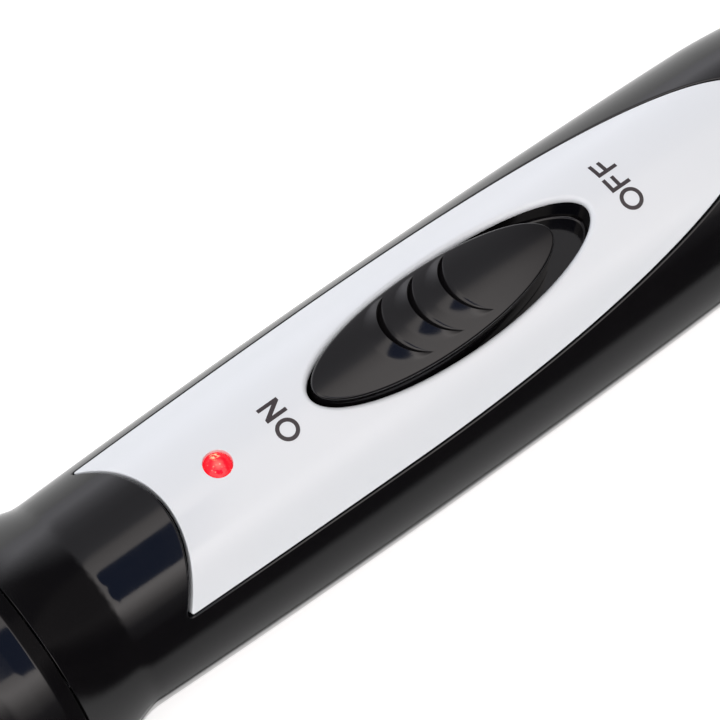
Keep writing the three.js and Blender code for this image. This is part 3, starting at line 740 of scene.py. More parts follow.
def handle_surface():
    straight = np.arange(SHELL_FRONT, REAR_ROUND, 0.25)
    turn = np.linspace(0, math.pi / 2, 60)
    rounding = REAR_ROUND + (SHELL_REAR - REAR_ROUND) * np.sin(turn)
    rear_face = np.linspace(REAR_R, COLLAR_R, 11)[1:]
    x = np.concatenate([straight, rounding, np.full(len(rear_face), SHELL_REAR)])
    r = np.concatenate([handle_radius(straight), handle_radius(rounding), rear_face])
    return TurnedSurface(x, r, INNER, REST_Z)


HANDLE = handle_surface()
print("handle outline is", round(HANDLE.u[-1], 1), "mm long")

# %% [markdown]
# ## The inlay's outline
# The white inlay is as wide as the top of the grip. Behind the switch it narrows to a rounded
# tip, and in front a round black tongue bites into it. The outline is drawn from those few facts:
# a straight side, a quarter of an ellipse and an arc. Its two front corners are softened, because
# a moulding has no sharp corners.

# %% The inlay's outline
INLAY_T, GAP = 1.6, 0.3
INLAY_ANGLE = math.radians(51.6)
TAPER_X, TAPER_LENGTH = -15.1, 72.2
TONGUE_X, TONGUE_R = -67.2, 18.3
WELL_A, WELL_B = 24.46, 7.44
WELL_LEDGE, LEDGE_WIDTH = 0.85, 1.5
POCKET_SHIFT = (-0.18, 0.16)


def inlay_outline(shift=(0.0, 0.0)):
    edge = BELLY_R * INLAY_ANGLE
    turn = np.linspace(0, math.pi / 2, 90)
    taper = np.column_stack([HANDLE.u_at(TAPER_X + TAPER_LENGTH * np.sin(turn)), edge * np.cos(turn)])
    bite = np.linspace(-math.pi / 2, math.pi / 2, 400)
    arc = np.column_stack([TONGUE_X + TONGUE_R * np.cos(bite), TONGUE_R * np.sin(bite)]) + shift
    arc = arc[np.abs(arc[:, 1]) < handle_radius(arc[:, 0]) * math.sin(INLAY_ANGLE)]
    arc = HANDLE.from_plan(arc)
    right = np.column_stack([taper[:, 0], -taper[:, 1]])
    return np.vstack([right[:-1], taper[::-1], arc[::-1]])


panel_edge = relaxed(resampled(inlay_outline(), 0.3), 3)
pocket_edge = grown(relaxed(resampled(inlay_outline(POCKET_SHIFT), 0.3), 3), GAP)
print("inlay outline:", len(panel_edge), "points")

# %% [markdown]
# ## The upper shell
# A hollow half-shell with a shallow pocket for the inlay. It is one skin outside with the pocket
# as a hole, a wall down to the pocket's floor, the floor with two openings for the switch and the
# lamp, and an inner skin. The tiny rounding on the pocket's edge matters most: it catches the
# light as a thin bright line beside the dark gap.

# %% Upper shell
WALL, POCKET_DEPTH = 3.0, 1.9
PARTING, LIP, POCKET_CORNER = 0.15, 0.12, 0.3
WELL_ROOM, LAMP_ROOM_R = 1.5, 2.4


def half_outline(start, end):
    """A strip of the handle's surface between two directions round it, in degrees."""
    s0, s1 = BELLY_R * math.radians(start) + PARTING, BELLY_R * math.radians(end) - PARTING
    u1 = HANDLE.u[-1]
    return resampled_box(np.array([[0.0, s0], [u1, s0], [u1, s1], [0.0, s1]]), 0.6)


def upper_shell():
    skin = Skin("upper_casing")
    rim = half_outline(-90, 90)
    hole = pocket_edge[::-1]
    skin.patch(HANDLE, grown(rim, -LIP), [grown(hole, -POCKET_CORNER)], 1.3)
    skin.band(HANDLE, rim, edge_profile(LIP, WALL))
    skin.band(HANDLE, hole, edge_profile(POCKET_CORNER, POCKET_DEPTH))
    well = HANDLE.from_plan(ellipse(0, WELL_A + WELL_ROOM, WELL_B + WELL_ROOM))
    lamp = HANDLE.from_plan(ellipse(LAMP_X, LAMP_ROOM_R, LAMP_ROOM_R, 40))
    openings = [well[::-1], lamp[::-1]]
    skin.patch(HANDLE, pocket_edge, openings, 2.0, POCKET_DEPTH)
    for opening in openings:
        skin.band(HANDLE, opening, [(0, POCKET_DEPTH, math.pi / 2), (0, WALL, math.pi / 2)])
    inner_rims(skin, rim, openings)
    return skin.mesh()


def inner_rims(skin, rim, openings):
    """The inner skin, and the strips that join it to the walls that came down from outside."""
    skin.patch(HANDLE, rim, openings, 2.5, "inner", under=True)
    for loop in (rim, *openings):
        out = -HANDLE.normals(loop)
        skin.strip(HANDLE.at(loop, WALL), HANDLE.at(loop, "inner"), out, out)


place_piece(upper_shell(), "handle", "gloss_black", ["upper_shell"])

# %% [markdown]
# ## The inlay
# The same outline, now from the other side: a sheet 1.6 mm thick, laid on the surface, with a
# soft rounding where it dips into the switch's well. That rounding is wider than the one along
# the outer edge, so that a thumb slides over it. Below the rounding the sheet is stepped back,
# which leaves room for the rim of the black dish.

# %% Inlay
INLAY_EDGE, THUMB_EDGE, LAMP_EDGE = 0.2, 0.75, 0.12
LAMP_HOLE_R = 2.04


def inlay():
    skin = Skin("white_inlay")
    well = HANDLE.from_plan(ellipse(0, WELL_A, WELL_B, 220))[::-1]
    lamp = HANDLE.from_plan(ellipse(LAMP_X, LAMP_HOLE_R, LAMP_HOLE_R, 64))[::-1]
    edges = [(panel_edge, INLAY_EDGE), (well, THUMB_EDGE), (lamp, LAMP_EDGE)]
    inset = [grown(loop, -radius) for loop, radius in edges]
    skin.patch(HANDLE, inset[0], inset[1:], 1.2)
    for loop, radius in (edges[0], edges[2]):
        skin.band(HANDLE, loop, edge_profile(radius, INLAY_T))
    step = [(-LEDGE_WIDTH, WELL_LEDGE, math.pi), (-LEDGE_WIDTH, INLAY_T, math.pi / 2)]
    skin.band(HANDLE, well, edge_profile(THUMB_EDGE, WELL_LEDGE) + step)
    wide = grown(well, -LEDGE_WIDTH)
    skin.patch(HANDLE, panel_edge, [wide, lamp], 2.5, INLAY_T, under=True)
    return skin.mesh()


place_piece(inlay(), "handle", "gloss_white", ["top_panel"])

# %% [markdown]
# ## The lower shell
# The same skin, carried on round the underside. It has an opening for the trigger and two deep
# round pockets for the screws that hold the halves together. The flat cut needs a crisp edge, so
# its border is given to the triangle net as a crease that no triangle may cross.

# %% Lower shell
SCREW_POCKET_R, SCREW_FLOOR = 2.8, -12.0
HANDLE_SCREWS = [sum(ends(f"handle_screw_{i}")) / 2 for i in (1, 2)]
TRIGGER_FRONT, TRIGGER_REAR = ends("rotation_trigger")[0], -26.5
GATE_HALF, GATE_CORNER, GATE_ROOM = 5.4, 2.4, (0.5, 0.4)


class Measured:
    """A surface whose direction is measured from its own points, a small step apart."""

    def normals(self, flat):
        along, across = (SMALL_STEP, 0), (0, SMALL_STEP)
        du = self.at(flat + along, 0) - self.at(flat - along, 0)
        ds = self.at(flat + across, 0) - self.at(flat - across, 0)
        ways = np.cross(du, ds)
        return ways / np.linalg.norm(ways, axis=1)[:, None]


class Plane(Measured):
    """A flat surface through a point, drawn with two directions that lie in it."""

    def __init__(self, point, right, up):
        self.point, self.right, self.up = (np.array(v, float) for v in (point, right, up))

    def at(self, flat, depth):
        spot = self.point + flat[:, :1] * self.right + flat[:, 1:] * self.up
        return spot - np.cross(self.right, self.up) * depth


def level(z):
    return Plane((0, 0, z), (1, 0, 0), (0, 1, 0))


def from_below(plan):
    """Points (x, y) of a drawing of the underside, on the flat drawing of the surface."""
    flat = HANDLE.from_plan(plan)
    flat[:, 1] = BELLY_R * math.pi - flat[:, 1]
    return flat[::-1]


def rest_crease():
    x = np.linspace(SHELL_FRONT + 0.5, FLARE_START, 60)
    r = handle_radius(x)
    x, r = x[r > HOME[2]], r[r > HOME[2]]
    half = BELLY_R * np.arccos(HOME[2] / r)
    u, under = HANDLE.u_at(x), BELLY_R * math.pi
    return np.vstack([np.column_stack([u, under - half]), np.column_stack([u, under + half])[::-1]])


def lower_shell():
    skin = Skin("lower_casing")
    rim = half_outline(90, 270)
    start, end = TRIGGER_FRONT - GATE_ROOM[0], TRIGGER_REAR + GATE_ROOM[1]
    gate = from_below(rounded_box(start, end, -GATE_HALF, GATE_HALF, GATE_CORNER, 0.4))[::-1]
    pockets = [from_below(ellipse(x, SCREW_POCKET_R, SCREW_POCKET_R, 48))[::-1] for x in HANDLE_SCREWS]
    holes = [grown(loop, -LIP) for loop in (gate, *pockets)]
    skin.patch(HANDLE, grown(rim, -LIP), holes, 1.3, creases=[rest_crease()])
    skin.band(HANDLE, rim, edge_profile(LIP, WALL))
    skin.band(HANDLE, gate, edge_profile(LIP, WALL))
    for loop in pockets:
        skin.band(HANDLE, loop, edge_profile(LIP, 1.0))
        wall = HANDLE.at(loop, 1.0)
        floor_ring = wall * (1, 1, 0) + (0, 0, SCREW_FLOOR)
        inward = (wall.mean(0) - wall) * (1, 1, 0)
        skin.strip(wall, floor_ring, inward, inward)
        disc = floor_ring[:, :2][::-1]
        skin.patch(level(SCREW_FLOOR), disc, (), 1.0, under=True)
    inner_rims(skin, rim, [gate])
    return skin.mesh()


place_piece(lower_shell(), "handle", "gloss_black", ["lower_shell"])

# %% [markdown]
# ## The switch's dish
# The slider runs in a long oval dish. It is a thin tub with a rounded floor, and it is drawn as a
# stack of ovals: down the outside, over the rim and down the inside. The slot in its floor lets
# the slider's stem reach the switch below.

# %% Dish
DISH_FLOOR, DISH_UNDER, DISH_RIM = 12.6, 11.4, WELL_LEDGE + 0.04
DISH_WALL, DISH_FILLET, DISH_OVAL = 1.2, 0.5, 1 / 9
SLOT_END, SLOT_HALF, SLOT_CORNER, TRAVEL = 2.6, 1.7, 0.8, 6.6


def oval_ring(a, b, z=None, depth=None):
    plan = ellipse(0, a, b)
    if depth is None:
        return np.column_stack([plan, np.full(len(plan), z)])
    return HANDLE.at(HANDLE.from_plan(plan), depth)


def lean_on(ring, up, out):
    """Directions that point up and away from the middle of an oval ring."""
    away = ring * (DISH_OVAL, 1, 0)
    away /= np.linalg.norm(away, axis=1)[:, None]
    return away * out + (0, 0, up)


def dish():
    skin = Skin("switch_dish")
    foot = oval_ring(WELL_A + DISH_WALL, WELL_B + DISH_WALL, DISH_UNDER)
    rim_out = oval_ring(WELL_A + DISH_WALL, WELL_B + DISH_WALL, depth=DISH_RIM)
    rim_in = oval_ring(WELL_A, WELL_B, depth=DISH_RIM)
    inner_a, inner_b = rim_in[:, 0].max(), rim_in[:, 1].max()
    turn = np.linspace(0, math.pi / 2, 6)
    bowl = []
    for t in turn:
        narrower = DISH_FILLET * (1 - math.cos(t))
        height = DISH_FLOOR + DISH_FILLET * (1 - math.sin(t))
        bowl.append(oval_ring(inner_a - narrower, inner_b - narrower, height))
    outward, upward, inward = lean_on(foot, 0, 1), lean_on(foot, 1, 0), lean_on(bowl[0], 0, -1)
    skin.strip(rim_out, foot, outward, outward)
    skin.strip(rim_in, rim_out, upward, upward)
    skin.strip(bowl[0], rim_in, inward, inward)
    for k in range(len(turn) - 1):
        ways = [lean_on(bowl[k], math.sin(t), -math.cos(t)) for t in turn[k:k + 2]]
        skin.strip(bowl[k + 1], bowl[k], ways[1], ways[0])
    slot = rounded_box(-SLOT_END, SLOT_END + TRAVEL, -SLOT_HALF, SLOT_HALF, SLOT_CORNER)[::-1]
    skin.patch(level(DISH_FLOOR), bowl[-1][:, :2], [slot], 1.5)
    skin.patch(level(DISH_UNDER), foot[:, :2], [slot], 2.5, under=True)
    walls = [level(z).at(slot, 0) for z in (DISH_FLOOR, DISH_UNDER)]
    inward = walls[0].mean(0) - walls[0]
    skin.strip(*walls, inward, inward)
    return skin.mesh()


place_piece(dish(), "handle", "gloss_black", ["switch_well"])

# %% [markdown]
# ## The power slider
# A crowned oval button with three crescent ridges for the thumb. From the front each ridge rises
# as a smooth flank, comes to a crest, and drops at once into a narrow groove that runs out to a
# point at both ends. All of it is one height above the plan, so the shape is a formula: crown plus
# ridges. The triangle net gets extra points along each crest, where the height changes fastest.

# %% Slider
SLIDER_X, SLIDER_A, SLIDER_B = -3.1, 20.75, 6.5
SLIDER_UNDER, SLIDER_EDGE, SLIDER_BAND = 12.9, 0.32, 1.0
CROWN_TOP, CROWN_MIDDLE, CROWN_DROP = 18.9, -3, 0.00185
STEM_END, STEM_LENGTH, STEM_HALF, STEM_CORNER = 10.2, 2.2, 1.3, 0.3
RIDGE_CENTRES, RIDGE_Y, RIDGE_R = [-5.9, -0.55, 4.8], 0.4, 5.5
RIDGE_SPREAD = math.radians(74)
FLANK, GROOVE = 2.4, 1.7
CREST_HEIGHT, GROOVE_DEPTH, DROP_SHARE = 0.6, 1.15, 0.1
CREST_FADE, FLANK_CURVE, GROOVE_FADE, GROOVE_CURVE = 0.8, 1.5, 0.9, 1.4


def ridge_rise(x, y):
    """How far the ridges lift the surface, or their grooves lower it."""
    rise = np.zeros_like(x)
    for centre in RIDGE_CENTRES:
        dx, dy = x - centre, y - RIDGE_Y
        share = np.clip(np.abs(np.arctan2(dy, -dx)) / RIDGE_SPREAD, 0, 1)
        size = np.maximum(np.cos(share * math.pi / 2), 1e-6)
        ahead = np.hypot(dx, dy) - RIDGE_R
        crest = CREST_HEIGHT * size ** CREST_FADE
        slope = crest * np.clip(1 - ahead / (FLANK * size), 0, 1) ** FLANK_CURVE
        behind = np.clip(-ahead / (GROOVE * size ** GROOVE_FADE), 0, 1)
        fall = np.clip(behind / DROP_SHARE, 0, 1)
        back = np.clip((1 - behind) / (1 - DROP_SHARE), 0, 1)
        groove = crest * (1 - fall) - GROOVE_DEPTH * size * fall * back ** GROOVE_CURVE
        rise += np.where(share >= 1, 0, np.where(ahead >= 0, slope, groove))
    return rise


def crown(x, y):
    top = CROWN_TOP - CROWN_DROP * (x - CROWN_MIDDLE) ** 2
    return np.sqrt(top ** 2 - y ** 2)


class SliderTop(Measured):
    def at(self, flat, depth):
        x, y = flat.T
        return np.column_stack([flat, crown(x, y) + ridge_rise(x, y) - depth])


def ridge_points():
    """Points along each crest, closest together where the slider's height changes fastest."""
    rows = [GROOVE * s for s in (-1, -0.8, -0.6, -0.42, -0.28, -0.16, -DROP_SHARE, -0.05)]
    rows += [0.0] + [FLANK * s for s in (0.02, 0.06, 0.12, 0.2, 0.3, 0.42, 0.56, 0.7, 0.85, 1)]
    points = []
    for centre in RIDGE_CENTRES:
        for share in np.linspace(-0.985, 0.985, 131):
            size = math.cos(share * math.pi / 2)
            angle = share * RIDGE_SPREAD
            for row in rows:
                r = RIDGE_R + row * (size if row > 0 else size ** GROOVE_FADE)
                points.append([centre - r * math.cos(angle), RIDGE_Y + r * math.sin(angle)])
    return np.array(points)


def slider():
    skin = Skin("power_slider_cap")
    top = SliderTop()
    edge = ellipse(SLIDER_X, SLIDER_A, SLIDER_B, 260)
    skin.patch(top, grown(edge, -SLIDER_EDGE), (), 0.55, extra=ridge_points())
    skin.band(top, edge, edge_profile(SLIDER_EDGE, SLIDER_BAND))
    wall = top.at(edge, SLIDER_BAND)
    foot = wall * (1, 1, 0) + (0, 0, SLIDER_UNDER)
    out = np.column_stack([sideways(edge), np.zeros(len(edge))])
    skin.strip(wall, foot, out, out)
    stem = rounded_box(-STEM_LENGTH, STEM_LENGTH, -STEM_HALF, STEM_HALF, STEM_CORNER)
    skin.patch(level(SLIDER_UNDER), edge, [stem[::-1]], 1.5, under=True)
    ends_of_stem = [level(z).at(stem, 0) for z in (SLIDER_UNDER, STEM_END)]
    away = np.column_stack([sideways(stem), np.zeros(len(stem))])
    skin.strip(*ends_of_stem, away, away)
    skin.patch(level(STEM_END), stem, (), 1.0, under=True)
    return skin.mesh()


place_piece(slider(), "slider", "gloss_black", ["power_slider"], "slider_black")

# %% [markdown]
# ## Turned pieces
# Many parts are made on a lathe or could be: the guard, the barrel, the tip, the gland, screws and
# rivets. Each is an outline of (along, radius) points turned round an axis. A third number at a
# point asks for a rounded corner of that radius, because real edges are always broken and the
# light shows it.

# %% The lathe
ARC_STEP = math.radians(7)
LONGEST_REACH = 0.48
FACING_ALONG = 0.98


def corner_arc(before, here, after, asked):
    """Where a rounded corner starts and ends, and its strips (start, direction, end, direction)."""
    a, b = before - here, after - here
    la, lb = np.linalg.norm(a), np.linalg.norm(b)
    a, b = a / la, b / lb
    half = math.acos(max(-1, min(1, a @ b))) / 2
    reach = min(asked / math.tan(half), LONGEST_REACH * la, LONGEST_REACH * lb)
    radius = reach * math.tan(half)
    centre = here + (a + b) / np.linalg.norm(a + b) * (radius / math.sin(half))
    start, end = here + a * reach - centre, here + b * reach - centre
    sweep = math.pi - 2 * half
    steps = max(2, math.ceil(sweep / ARC_STEP))
    side = 1 if start[0] * end[1] - start[1] * end[0] > 0 else -1
    arc = []
    for k in range(steps + 1):
        turn = side * sweep * k / steps
        c, s = math.cos(turn), math.sin(turn)
        arc.append(np.array([start[0] * c - start[1] * s, start[0] * s + start[1] * c]))
    ways = [-side * p / radius for p in arc]
    strips = [(centre + p, w, centre + q, v) for p, w, q, v in zip(arc, ways, arc[1:], ways[1:])]
    return here + a * reach, here + b * reach, strips


def soft_corners(outline, closed):
    """Straight and round stretches of an outline, each as (start, its direction, end, its direction)."""
    count = len(outline)
    spots = [np.array(point[:2], float) for point in outline]
    corners = [(spot, spot, []) for spot in spots]
    for i, point in enumerate(outline):
        if len(point) > 2 and (closed or 0 < i < count - 1):
            corners[i] = corner_arc(spots[i - 1], spots[i], spots[(i + 1) % count], point[2])
    segments = []
    for i in range(count if closed else count - 1):
        _, start, strips = corners[i]
        segments += strips
        end = corners[(i + 1) % count][0]
        run = end - start
        if np.linalg.norm(run) > 1e-9:
            way = np.array([-run[1], run[0]]) / np.linalg.norm(run)
            segments.append((start, way, end, way))
    return segments


def ring_angles(r, around, floor):
    """Directions round a ring. Where a floor cuts it, the middle quarter of them lie on the floor."""
    edge = math.acos(max(-1.0, floor / max(r, 1e-6)))
    side, flat = around * 3 // 8, around // 4
    return np.concatenate([np.linspace(0, edge, side, endpoint=False),
                           np.linspace(edge, 2 * math.pi - edge, flat, endpoint=False),
                           np.linspace(2 * math.pi - edge, 2 * math.pi, side, endpoint=False)])


def ring_row(x, r, around, floor=None):
    if floor is None:
        angle = np.linspace(0, 2 * math.pi, around, endpoint=False)
    else:
        angle = ring_angles(r, around, floor)
    z = r * np.cos(angle)
    if floor is not None:
        z = np.maximum(z, floor)
    return np.column_stack([np.full(around, x), r * np.sin(angle), z]), angle


def turn_outline(skin, outline, around=128, closed=False, floor=None):
    """Turns an outline round the X axis. Going along it, the solid side is on the right."""
    for start, way_s, end, way_e in soft_corners(outline, closed):
        cuts = [(start, way_s), (end, way_e)]
        if floor is not None and (start[1] + floor) * (end[1] + floor) < 0:
            share = (-floor - start[1]) / (end[1] - start[1])
            cuts.insert(1, (start + (end - start) * share, way_s + (way_e - way_s) * share))
        rows, ways = [], []
        for (x, r), (along, outward) in cuts:
            row, angle = ring_row(x, r, around, floor)
            way = np.column_stack([np.full(around, along), outward * np.sin(angle),
                                   outward * np.cos(angle)])
            if floor is not None and min(start[1], end[1]) > -floor and abs(along) < FACING_ALONG:
                way[row[:, 2] <= floor + 1e-6] = (0, 0, -1)
            rows.append(row)
            ways.append(way)
        for k in range(len(rows) - 1):
            skin.strip(*rows[k:k + 2], *ways[k:k + 2])


def turned_piece(name, body, slot, covers, outline, closed=False, around=128, place=None):
    skin = Skin(name, place)
    turn_outline(skin, outline, around, closed)
    return place_piece(skin.mesh(), body, slot, covers)


def axis_to(point, direction):
    """A placement that puts a piece drawn along +X at a point, pointing in a direction."""
    turn = Vector((1, 0, 0)).rotation_difference(Vector(direction)).to_matrix().to_4x4()
    return Matrix.Translation(point) @ turn


print("lathe ready")

# %% [markdown]
# ## One way to make plates
# The inlay, the letters, the trigger and the clip's jaw are all plates: a face laid on a surface,
# outlines with rounded edges, and an underside.

# %% Plates
def plate(skin, surface, loops, depth, spacing, top=0.0):
    """loops holds (outline, edge radius) pairs, the outer one first and then the holes."""
    inset = [grown(loop, -radius) for loop, radius in loops]
    skin.patch(surface, inset[0], inset[1:], spacing, top)
    for loop, radius in loops:
        skin.band(surface, loop, [(o, d + top, lean) for o, d, lean in edge_profile(radius, depth)])
    outline, *holes = [loop for loop, _ in loops]
    skin.patch(surface, outline, holes, 2 * spacing, top + depth, under=True)


print("a plate's edge has", len(edge_profile(1, 2)), "rows")

# %% [markdown]
# ## The lamp's lens
# A clear round lens sits in a hole of the inlay just under its surface. Its face is a low dome, so
# it is turned round an upright axis.

# %% Lens
LENS_BASE, LENS_EDGE, LENS_TOP, LENS_R = 14.6, 16.25, 16.86, 1.97
DOME_DROP, DOME_R = 0.1, 1.15
lens_outline = [(LENS_BASE, 0), (LENS_BASE, LENS_R), (LENS_EDGE, LENS_R, 0.25),
                (LENS_TOP - DOME_DROP, DOME_R, 3.0), (LENS_TOP, 0)]
turned_piece("lamp_lens", "handle", "red_lens", ["led_lens"], lens_outline, around=64,
             place=axis_to((LAMP_X, 0, 0), (0, 0, 1)))

# %% [markdown]
# ## The printed words
# ON and OFF stand at the ends of the switch, to be read from the side. Print has a thickness too:
# three hundredths of a millimetre of ink. Each letter is an outline in its own (right, up)
# directions, laid on the handle's surface.

# %% Letters
STROKE, LETTER_HEIGHT = 0.57, 3.35
INK_ABOVE, INK_DEPTH = 0.03, 0.04


def letter_n(width, lean=1.15):
    height, t = LETTER_HEIGHT, STROKE
    return [(0, 0), (t, 0), (t, height - lean), (width - t, 0), (width, 0), (width, height),
            (width - t, height), (width - t, lean), (t, height), (0, height)]


def letter_f(width, bar=1.72, short=0.2):
    height, t = LETTER_HEIGHT, STROKE
    return [(0, 0), (t, 0), (t, bar - t / 2), (width - short, bar - t / 2),
            (width - short, bar + t / 2), (t, bar + t / 2), (t, height - t),
            (width, height - t), (width, height), (0, height)]


def straight_letter(points, top_x, left_y):
    corners = np.array([[top_x + LETTER_HEIGHT - up, left_y + right] for right, up in points])
    return [(HANDLE.from_plan(resampled_box(corners, 0.25)), 0.0)]


def round_letter(x, y, radius):
    rings = [ellipse(x, r, r, 64) + (0, y) for r in (radius, radius - STROKE)]
    return [(HANDLE.from_plan(rings[0]), 0.0), (HANDLE.from_plan(rings[1])[::-1], 0.0)]


def word(name, letters):
    skin = Skin(name)
    for loops in letters:
        plate(skin, HANDLE, loops, INK_DEPTH, 0.6, top=-INK_ABOVE)
    return place_piece(skin.mesh(), "handle", "matt_black", (), "ink")


word("lettering_on", [round_letter(-29.76, -1.72, 1.66),
                      straight_letter(letter_n(2.54), -31.35, 0.48)])
word("lettering_off", [round_letter(30.31, -2.81, 1.7),
                       straight_letter(letter_f(2.4), 28.65, -0.74),
                       straight_letter(letter_f(2.4), 28.8, 2.28)])

# %% [markdown]
# ## The rotation trigger
# A finger pulls this key under the grip to turn the barrel. Its face follows the grip, slightly
# proud, and has a shallow hollow with fine ribs. Ribs and hollow are a height pressed into the
# surface. Behind the face an arm runs to the pivot pin, and a post presses the switch.

# %% Trigger
TRIGGER_HALF, TRIGGER_CORNER, TRIGGER_PROUD, TRIGGER_DEPTH = 5.0, 2.0, 0.6, 2.6
TRIGGER_MIDDLE = (TRIGGER_FRONT + TRIGGER_REAR) / 2
HOLLOW_HALF, HOLLOW_WIDTH = (TRIGGER_REAR - TRIGGER_FRONT) / 2 - 1.5, 4.4
PIVOT_X, PIVOT_Z, PIVOT_HOLE, ARM_HALF, ARM_END_R = -22.5, -11.8, 1.15, 3, 1.9
POST_TOP, FACE_BACK = -13.2, -15
RIB_PITCH, RIB_DEPTH, HOLLOW = 2.1, 0.16, 0.3


class TriggerFace(Measured):
    def at(self, flat, depth):
        x = HANDLE.x_of(flat[:, 0])
        y = BELLY_R * math.pi - flat[:, 1]
        x = x - TRIGGER_MIDDLE
        share = np.clip(1 - (x / HOLLOW_HALF) ** 2, 0, 1) * np.clip(1 - (y / HOLLOW_WIDTH) ** 4, 0, 1)
        ribs = 0.5 + 0.5 * np.cos(x / RIB_PITCH * 2 * math.pi)
        dent = share * HOLLOW + np.clip(share * 2.5, 0, 1) * ribs * RIB_DEPTH
        return HANDLE.at(flat, depth - TRIGGER_PROUD + dent)


def round_end(x, y, radius, start, end, count=14):
    angle = np.radians(np.linspace(start, end, count))
    return [(x + radius * math.cos(a), y + radius * math.sin(a)) for a in angle]


def trigger():
    skin = Skin("trigger_key")
    face = TriggerFace()
    outline = from_below(rounded_box(TRIGGER_FRONT, TRIGGER_REAR, -TRIGGER_HALF, TRIGGER_HALF,
                                     TRIGGER_CORNER, 0.35))
    plate(skin, face, [(outline, 0.55)], TRIGGER_DEPTH, 0.45)
    arm = [(-30, FACE_BACK), (-27, FACE_BACK), (-27, -13.4)]
    arm += round_end(PIVOT_X, PIVOT_Z, ARM_END_R, -90, 80) + [(-30, -10)]
    pin_hole = ellipse(PIVOT_X, PIVOT_HOLE, PIVOT_HOLE, 32)[::-1] + (0, PIVOT_Z)
    plate(skin, Plane((0, -ARM_HALF, 0), (1, 0, 0), (0, 0, 1)),
          [(resampled_box(np.array(arm), 0.8), 0.2), (pin_hole, 0.1)], 2 * ARM_HALF, 1.2)
    post = rounded_box(-45.5, -43.5, -1.5, 1.5, 0.3)
    away = np.column_stack([sideways(post), np.zeros(len(post))])
    skin.strip(*[level(z).at(post, 0) for z in (POST_TOP, FACE_BACK)], away, away)
    skin.patch(level(POST_TOP), post, (), 1.0)
    return skin.mesh()


place_piece(trigger(), "trigger", "matt_black", ["rotation_trigger"])

# %% [markdown]
# ## Screws
# Pan heads with a cross recess. A screw is drawn once, along its own axis with the top of its
# head at zero, and placed by a point and a direction.

# %% Screws
RECESS_DEPTH, RECESS_TAPER = 0.75, 0.12


def cross_outline(arm, width):
    w = width / 2
    quarter = np.array([(arm, -w), (arm, w), (w, w)])
    turns = [np.array([[c, -s], [s, c]]) for c, s in ((1, 0), (0, 1), (-1, 0), (0, -1))]
    corners = np.vstack([quarter @ turn.T for turn in turns])
    return relaxed(resampled(corners, width / 8), 2)


def screw(name, body, covers, point, direction, head_r, head_h, shaft_r, length):
    skin = Skin(name, axis_to(point, direction))
    face = Plane((0, 0, 0), (0, 0, 1), (0, 1, 0))
    flat_r = 0.66 * head_r
    recess = cross_outline(0.56 * head_r, 0.26 * head_r)[::-1]
    skin.patch(face, ellipse(0, flat_r, flat_r, 64), [grown(recess, -0.04)], 0.5)
    skin.band(face, recess, edge_profile(0.04, RECESS_DEPTH * head_h, RECESS_TAPER))
    skin.patch(face, grown(recess[::-1], -RECESS_TAPER), (), 0.5, RECESS_DEPTH * head_h)
    outline = [(0, flat_r), (0, 0.8 * head_r, 0.6), (0.5 * head_h, head_r, 0.4), (head_h, head_r, 0.06),
               (head_h, shaft_r), (length - 0.5, shaft_r), (length, shaft_r - 0.5), (length, 0)]
    turn_outline(skin, outline, 64)
    return place_piece(skin.mesh(), body, "steel", covers)


GUARD_SCREW_R, GUARD_SCREW_HEAD, HANDLE_SCREW_HEAD = 15.6, -81.9, -13.9
for i in range(1, 5):
    node = f"guard_screw_{i}"
    head = (GUARD_SCREW_HEAD, middle(node, 1) - HOME[1], middle(node, 2) - HOME[2])
    screw(f"{node}_turned", "handle", [node], head, (1, 0, 0), 2.4, 1.7, 1.2, 13.5)
for i, x in enumerate(HANDLE_SCREWS, 1):
    node = f"handle_screw_{i}"
    screw(f"{node}_turned", "handle", [node], (x, 0, HANDLE_SCREW_HEAD), (0, 0, 1), 2.5, 1.7, 1.2, 19.5)

# %% [markdown]
# ## The finger guard
# The flared ring in front keeps fingers off the hot barrel. It is turned, cut flat underneath
# like the handle, and has four counterbored screws. The front face is a flat plate with the five
# holes, and the rest of the outline is turned round it.

# %% Finger guard
GUARD_FACE, GUARD_BORE, COUNTERBORE_R, COUNTERBORE_DEPTH = -85.0, 5.15, 2.7, 5.0
GUARD_FLAT_R, BORE_EDGE, COUNTERBORE_EDGE, GUARD_AROUND = 18.9, 0.5, 0.2, 256


